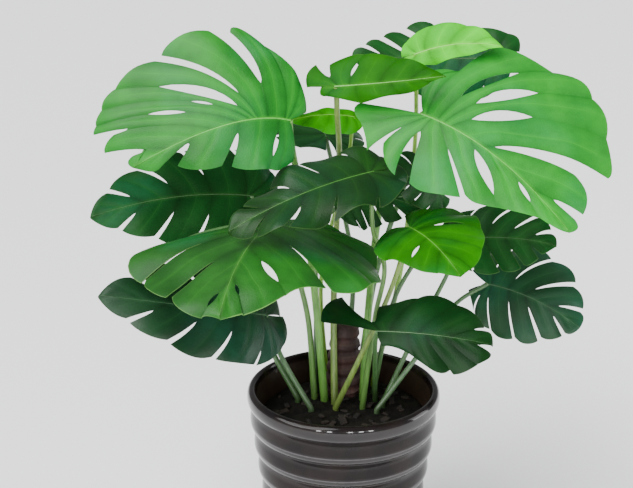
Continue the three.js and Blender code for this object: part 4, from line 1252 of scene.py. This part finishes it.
def blade_mesh(leaf, settings):
    """The blade as a closed plate, with veins standing out below and facts for its material."""
    sheet = Sheet(leaf)
    sides = []
    for which, (side, hand) in enumerate(((leaf["right"], 1), (leaf["left"], -1))):
        lobes, seams = lobes_of(side, leaf["wide"][which], leaf["sweep"][which], leaf["gap"])
        sides.append(([sheet.lobe(lobe, seams[i:i + 2], hand) for i, lobe in enumerate(lobes)], hand))
    stops = sorted({round(column[0][1], 5) for grids, _ in sides for grid in grids for column in grid})
    for grids, hand in sides:
        sheet.join(grids, hand, stops)

    top = bmesh.new()
    for point in sheet.points:
        top.verts.new(point * MM)
    top.verts.ensure_lookup_table()
    top.verts.index_update()
    for corners in sheet.faces:
        top.faces.new([top.verts[i] for i in corners])
    top.normal_update()
    normals = [vertex.normal.copy() for vertex in top.verts]
    margin = [edge for edge in top.edges if edge.is_boundary]
    rims = [(e.verts[0].index, e.verts[1].index, e.link_loops[0].vert.index) for e in margin]
    top.free()

    count = len(sheet.points)
    mesh = bpy.data.meshes.new(leaf["name"])
    build = bmesh.new()
    for point in sheet.points:
        build.verts.new(point * MM)
    for point, normal, (_, vein, edge) in zip(sheet.points, normals, sheet.facts):
        ridge = max(0.0, 1 - vein / RIDGE_HALF_WIDTH) ** 2 * min(1.0, edge / RIDGE_FADE) * settings.vein_depth
        build.verts.new(point * MM - normal * (settings.thickness + ridge))
    build.verts.ensure_lookup_table()
    build.verts.index_update()
    for corners in sheet.faces:
        build.faces.new([build.verts[i] for i in corners])
        build.faces.new([build.verts[i + count] for i in reversed(corners)])
    for a, b, first in rims:
        a, b = (a, b) if first == a else (b, a)
        build.faces.new([build.verts[i] for i in (b, a, a + count, b + count)])
    for face in build.faces:
        face.smooth = True
    for edge in build.edges:
        a, b = (vertex.index < count for vertex in edge.verts)
        tops = [sum(vertex.index < count for vertex in face.verts) for face in edge.link_faces]
        edge.smooth = not (2 in tops and a == b)
    build.to_mesh(mesh)
    build.free()
    blade = mesh.attributes.new("blade", "FLOAT_VECTOR", "POINT")
    blade.data.foreach_set("vector", [n for fact in sheet.facts * 2 for n in fact])
    upper = mesh.attributes.new("upper", "FLOAT", "POINT")
    upper.data.foreach_set("value", [1.0] * count + [0.0] * count)
    # The light attribute carries painted light and shade as a factor on the blade's colour.
    light = mesh.attributes.new("light", "FLOAT", "POINT")
    light.data.foreach_set("value", sheet.light * 2)
    return mesh


def spread(p0, p1, p2, p3, t):
    """A point on an even-going curve between p1 and p2, which also feels the points beside them."""
    steps = [max((b - a).length, 1e-6) ** 0.5 for a, b in ((p0, p1), (p1, p2), (p2, p3))]
    t1 = ((p1 - p0) / steps[0] - (p2 - p0) / (steps[0] + steps[1]) + (p2 - p1) / steps[1]) * steps[1]
    t2 = ((p2 - p1) / steps[1] - (p3 - p1) / (steps[1] + steps[2]) + (p3 - p2) / steps[2]) * steps[1]
    return p1 + t1 * t + (3 * (p2 - p1) - 2 * t1 - t2) * t * t + (2 * (p1 - p2) + t1 + t2) * t ** 3


def stalk_path(leaf):
    """The stalk's middle line from its hole in the soil to the blade, with its radius at each point."""
    at, _ = midrib_of(leaf)
    base, ahead = at(0.0)
    face = face_of(leaf, ahead)
    foot, top = leaf["stalk"]
    x, y = leaf["root"]
    soil = 1000 * (SOIL_TOP + SOIL_MOUND) + STALK_FOOT
    stops = [Vector((x, y, soil)), *(Vector(p) for p in leaf["via"]), base - face * top * JOINT_SINK]
    stops = [2 * stops[0] - stops[1], *stops, 2 * stops[-1] - stops[-2]]
    curve = []
    for p0, p1, p2, p3 in zip(stops, stops[1:], stops[2:], stops[3:]):
        curve += [spread(p0, p1, p2, p3, i / STALK_STEPS) for i in range(STALK_STEPS)]
    curve.append(stops[-2])
    path = [Vector((x, y, 1000 * (HOLE_BOTTOM + FIT_GAP))), Vector((x, y, soil - STALK_PLANTED)), *curve]
    reach = [0.0]
    for a, b in zip(path, path[1:]):
        reach.append(reach[-1] + (b - a).length)
    total = reach[-1]
    line = []
    for point, far in zip(path, reach):
        share = far / total
        sheath = SHEATH * math.exp(-((share / SHEATH_REACH) ** 2)) if share > SHEATH_START else 0.0
        knuckle = KNUCKLE * math.exp(-(((total - far) / (top * KNUCKLE_REACH)) ** 2))
        line.append((point, (foot + (top - foot) * share) * (1 + knuckle) + foot * sheath))
    return line


def midrib_path(leaf):
    """The midrib's middle line just under the upper face, thinning to the tip."""
    at, _ = midrib_of(leaf)
    line = []
    thick, loss, turn = MIDRIB_GIRTH
    for i in range(MIDRIB_STEPS + 1):
        share = MIDRIB_START + i / MIDRIB_STEPS
        point, ahead = at(share)
        radius = leaf["stalk"][1] * (thick - loss * max(share, 0.0) ** turn)
        line.append((point - face_of(leaf, ahead) * radius * MIDRIB_SINK, radius))
    return line


def rod_piece(name, line, sides):
    """A round rod drawn as a curve with a bevel and made a mesh."""
    curve = bpy.data.curves.new(name, "CURVE")
    curve.dimensions = "3D"
    curve.bevel_depth = 1.0
    curve.bevel_resolution = sides
    curve.use_fill_caps = True
    spline = curve.splines.new("POLY")
    spline.points.add(len(line) - 1)
    for spot, (point, radius) in zip(spline.points, line):
        spot.co = (*(point * MM), 1.0)
        spot.radius = radius * MM
    rod = bpy.data.objects.new(name, curve)
    bpy.context.scene.collection.objects.link(rod)
    drop_selection()
    rod.select_set(True)
    bpy.context.view_layer.objects.active = rod
    bpy.ops.object.convert(target="MESH")
    bpy.ops.object.shade_smooth_by_angle(angle=math.radians(SHARP))
    return bpy.context.object


# Each slot's stalks and midribs, how clearly its side veins and its margin show, and its gloss.
SKINS = {
    "bright": dict(stalk=(0.10, 0.27, 0.045), rib=(0.055, 0.32, 0.02), vein=0.25, margin=0.1, gloss=0.2),
    "yellow": dict(stalk=(0.12, 0.20, 0.04), rib=(0.06, 0.26, 0.012), vein=0.25, margin=0.2, gloss=0.04),
    "lime": dict(stalk=(0.16, 0.34, 0.035), rib=(0.15, 0.46, 0.03), vein=0.3, margin=0.1, gloss=0.06),
    "middle": dict(stalk=(0.085, 0.20, 0.045), rib=(0.045, 0.17, 0.02), vein=0.3, margin=0.55, gloss=0.2),
    "dark": dict(stalk=(0.05, 0.125, 0.04), rib=(0.02, 0.075, 0.014), vein=0.3, margin=0.3, gloss=0.1),
    "bluish": dict(stalk=(0.06, 0.13, 0.055), rib=(0.02, 0.07, 0.024), vein=0.3, margin=0.25, gloss=0.3),
}


class PLANT_OT_leaves(Operator):
    """Grows every leaf with its blade, veins, midrib and stalk"""

    bl_idname = "plant.leaves"
    bl_label = "Leaves"

    def execute(self, context):
        settings = context.scene.plant_leaf
        finishes = {}
        for name, skin in SKINS.items():
            finishes[name] = (
                blade_finish(f"blade_{name}", tuple(getattr(settings, name)), skin),
                stalk_finish(f"stalk_{name}", skin["stalk"]),
                midribs_finish(f"midrib_{name}", skin["rib"]),
            )
        for leaf in LEAVES:
            blade_skin, stalk_skin, midrib_skin = finishes[leaf["colour"]]
            blade = bpy.data.objects.new(f"{leaf['name']}_leaf", blade_mesh(leaf, settings))
            context.scene.collection.objects.link(blade)
            blade.data.materials.append(blade_skin)
            stalk = rod_piece("stalk", stalk_path(leaf), STALK_SIDES)
            stalk.data.materials.append(stalk_skin)
            midrib = rod_piece("midrib", midrib_path(leaf), MIDRIB_SIDES)
            midrib.data.materials.append(midrib_skin)
            drop_selection()
            for part in (stalk, midrib, blade):
                part.select_set(True)
            context.view_layer.objects.active = blade
            bpy.ops.object.join()
            keep(blade, f"leaf_{leaf['name']}")
        return {"FINISHED"}


class PLANT_OT_stage(Operator):
    """Lays the pale floor, hangs the soft lights and stands the camera where the photograph was taken"""

    bl_idname = "plant.stage"
    bl_label = "Floor, light and camera"

    def execute(self, context):
        settings = context.scene.plant_stage
        drop_selection()
        bpy.ops.mesh.primitive_plane_add(size=FLOOR_SIZE)
        floor = context.object
        floor.name = "floor"
        floor.data.materials.append(floor_finish(settings))

        world = bpy.data.worlds.new("room")
        context.scene.world = world
        world.use_nodes = True
        air = world.node_tree.nodes["Background"]
        air.inputs["Color"].default_value = ROOM_TINT
        air.inputs["Strength"].default_value = settings.sky

        sun = bpy.data.lights.new("key", "SUN")
        sun.energy = settings.key
        sun.angle = math.radians(SUN_WIDTH)
        key = bpy.data.objects.new("key", sun)
        context.scene.collection.objects.link(key)
        key.rotation_euler = [math.radians(angle) for angle in SUN_TURN]
        self.lamp("side", SIDE_PLACE, SIDE_AIM, SIDE_SIZE, settings.side)
        for number, turn in enumerate(PANES):
            angle = math.radians(turn)
            place = (PANE_REACH * math.sin(angle), -PANE_REACH * math.cos(angle), PANE_HEIGHT)
            self.lamp(f"pane_{number}", place, PANE_AIM, PANE_SIZE, settings.panes)

        camera = bpy.data.objects.new("camera", bpy.data.cameras.new("camera"))
        context.scene.collection.objects.link(camera)
        camera.location = CAMERA_PLACE
        camera.rotation_euler = [math.radians(angle) for angle in CAMERA_TURN]
        camera.data.sensor_width = SENSOR_WIDTH
        camera.data.lens = LENS
        camera.data.clip_end = VIEW_END
        context.scene.camera = camera
        return {"FINISHED"}

    def lamp(self, name, place, aim, size, power):
        """A soft rectangular light that looks at a point."""
        data = bpy.data.lights.new(name, "AREA")
        data.shape = "RECTANGLE"
        data.size, data.size_y = size
        data.energy = power
        lamp = bpy.data.objects.new(name, data)
        bpy.context.scene.collection.objects.link(lamp)
        lamp.location = place
        lamp.rotation_euler = (Vector(aim) - Vector(place)).to_track_quat("-Z", "Y").to_euler()


class PLANT_PT_panel(Panel):
    """Lists the plant's parts and their settings"""

    bl_idname = "PLANT_PT_panel"
    bl_label = "Potted plant"
    bl_space_type = "VIEW_3D"
    bl_region_type = "UI"
    bl_category = "Plant"

    def draw(self, context):
        for operator, settings in STEPS:
            box = self.layout.box()
            box.operator(operator.bl_idname)
            group = getattr(context.scene, settings)
            for key in SETTINGS[settings].__annotations__:
                box.prop(group, key)


STEPS = (
    (PLANT_OT_stage, "plant_stage"),
    (PLANT_OT_pot, "plant_pot"),
    (PLANT_OT_soil, "plant_soil"),
    (PLANT_OT_stem, "plant_stem"),
    (PLANT_OT_leaves, "plant_leaf"),
)
CLASSES = (*SETTINGS.values(), *(operator for operator, _ in STEPS), PLANT_PT_panel)


def register():
    """Registers the classes and hangs the settings on the scene."""
    for cls in CLASSES:
        bpy.utils.register_class(cls)
    for name, group in SETTINGS.items():
        setattr(bpy.types.Scene, name, PointerProperty(type=group))


def unregister():
    """Takes the settings and the classes away again."""
    for name in SETTINGS:
        delattr(bpy.types.Scene, name)
    for cls in reversed(CLASSES):
        bpy.utils.unregister_class(cls)


def main():
    """Makes every piece in order."""
    register()
    drop_selection()
    bpy.ops.plant.stage()
    bpy.ops.plant.pot()
    bpy.ops.plant.soil()
    bpy.ops.plant.stem()
    bpy.ops.plant.leaves()


if __name__ == "__main__":
    main()
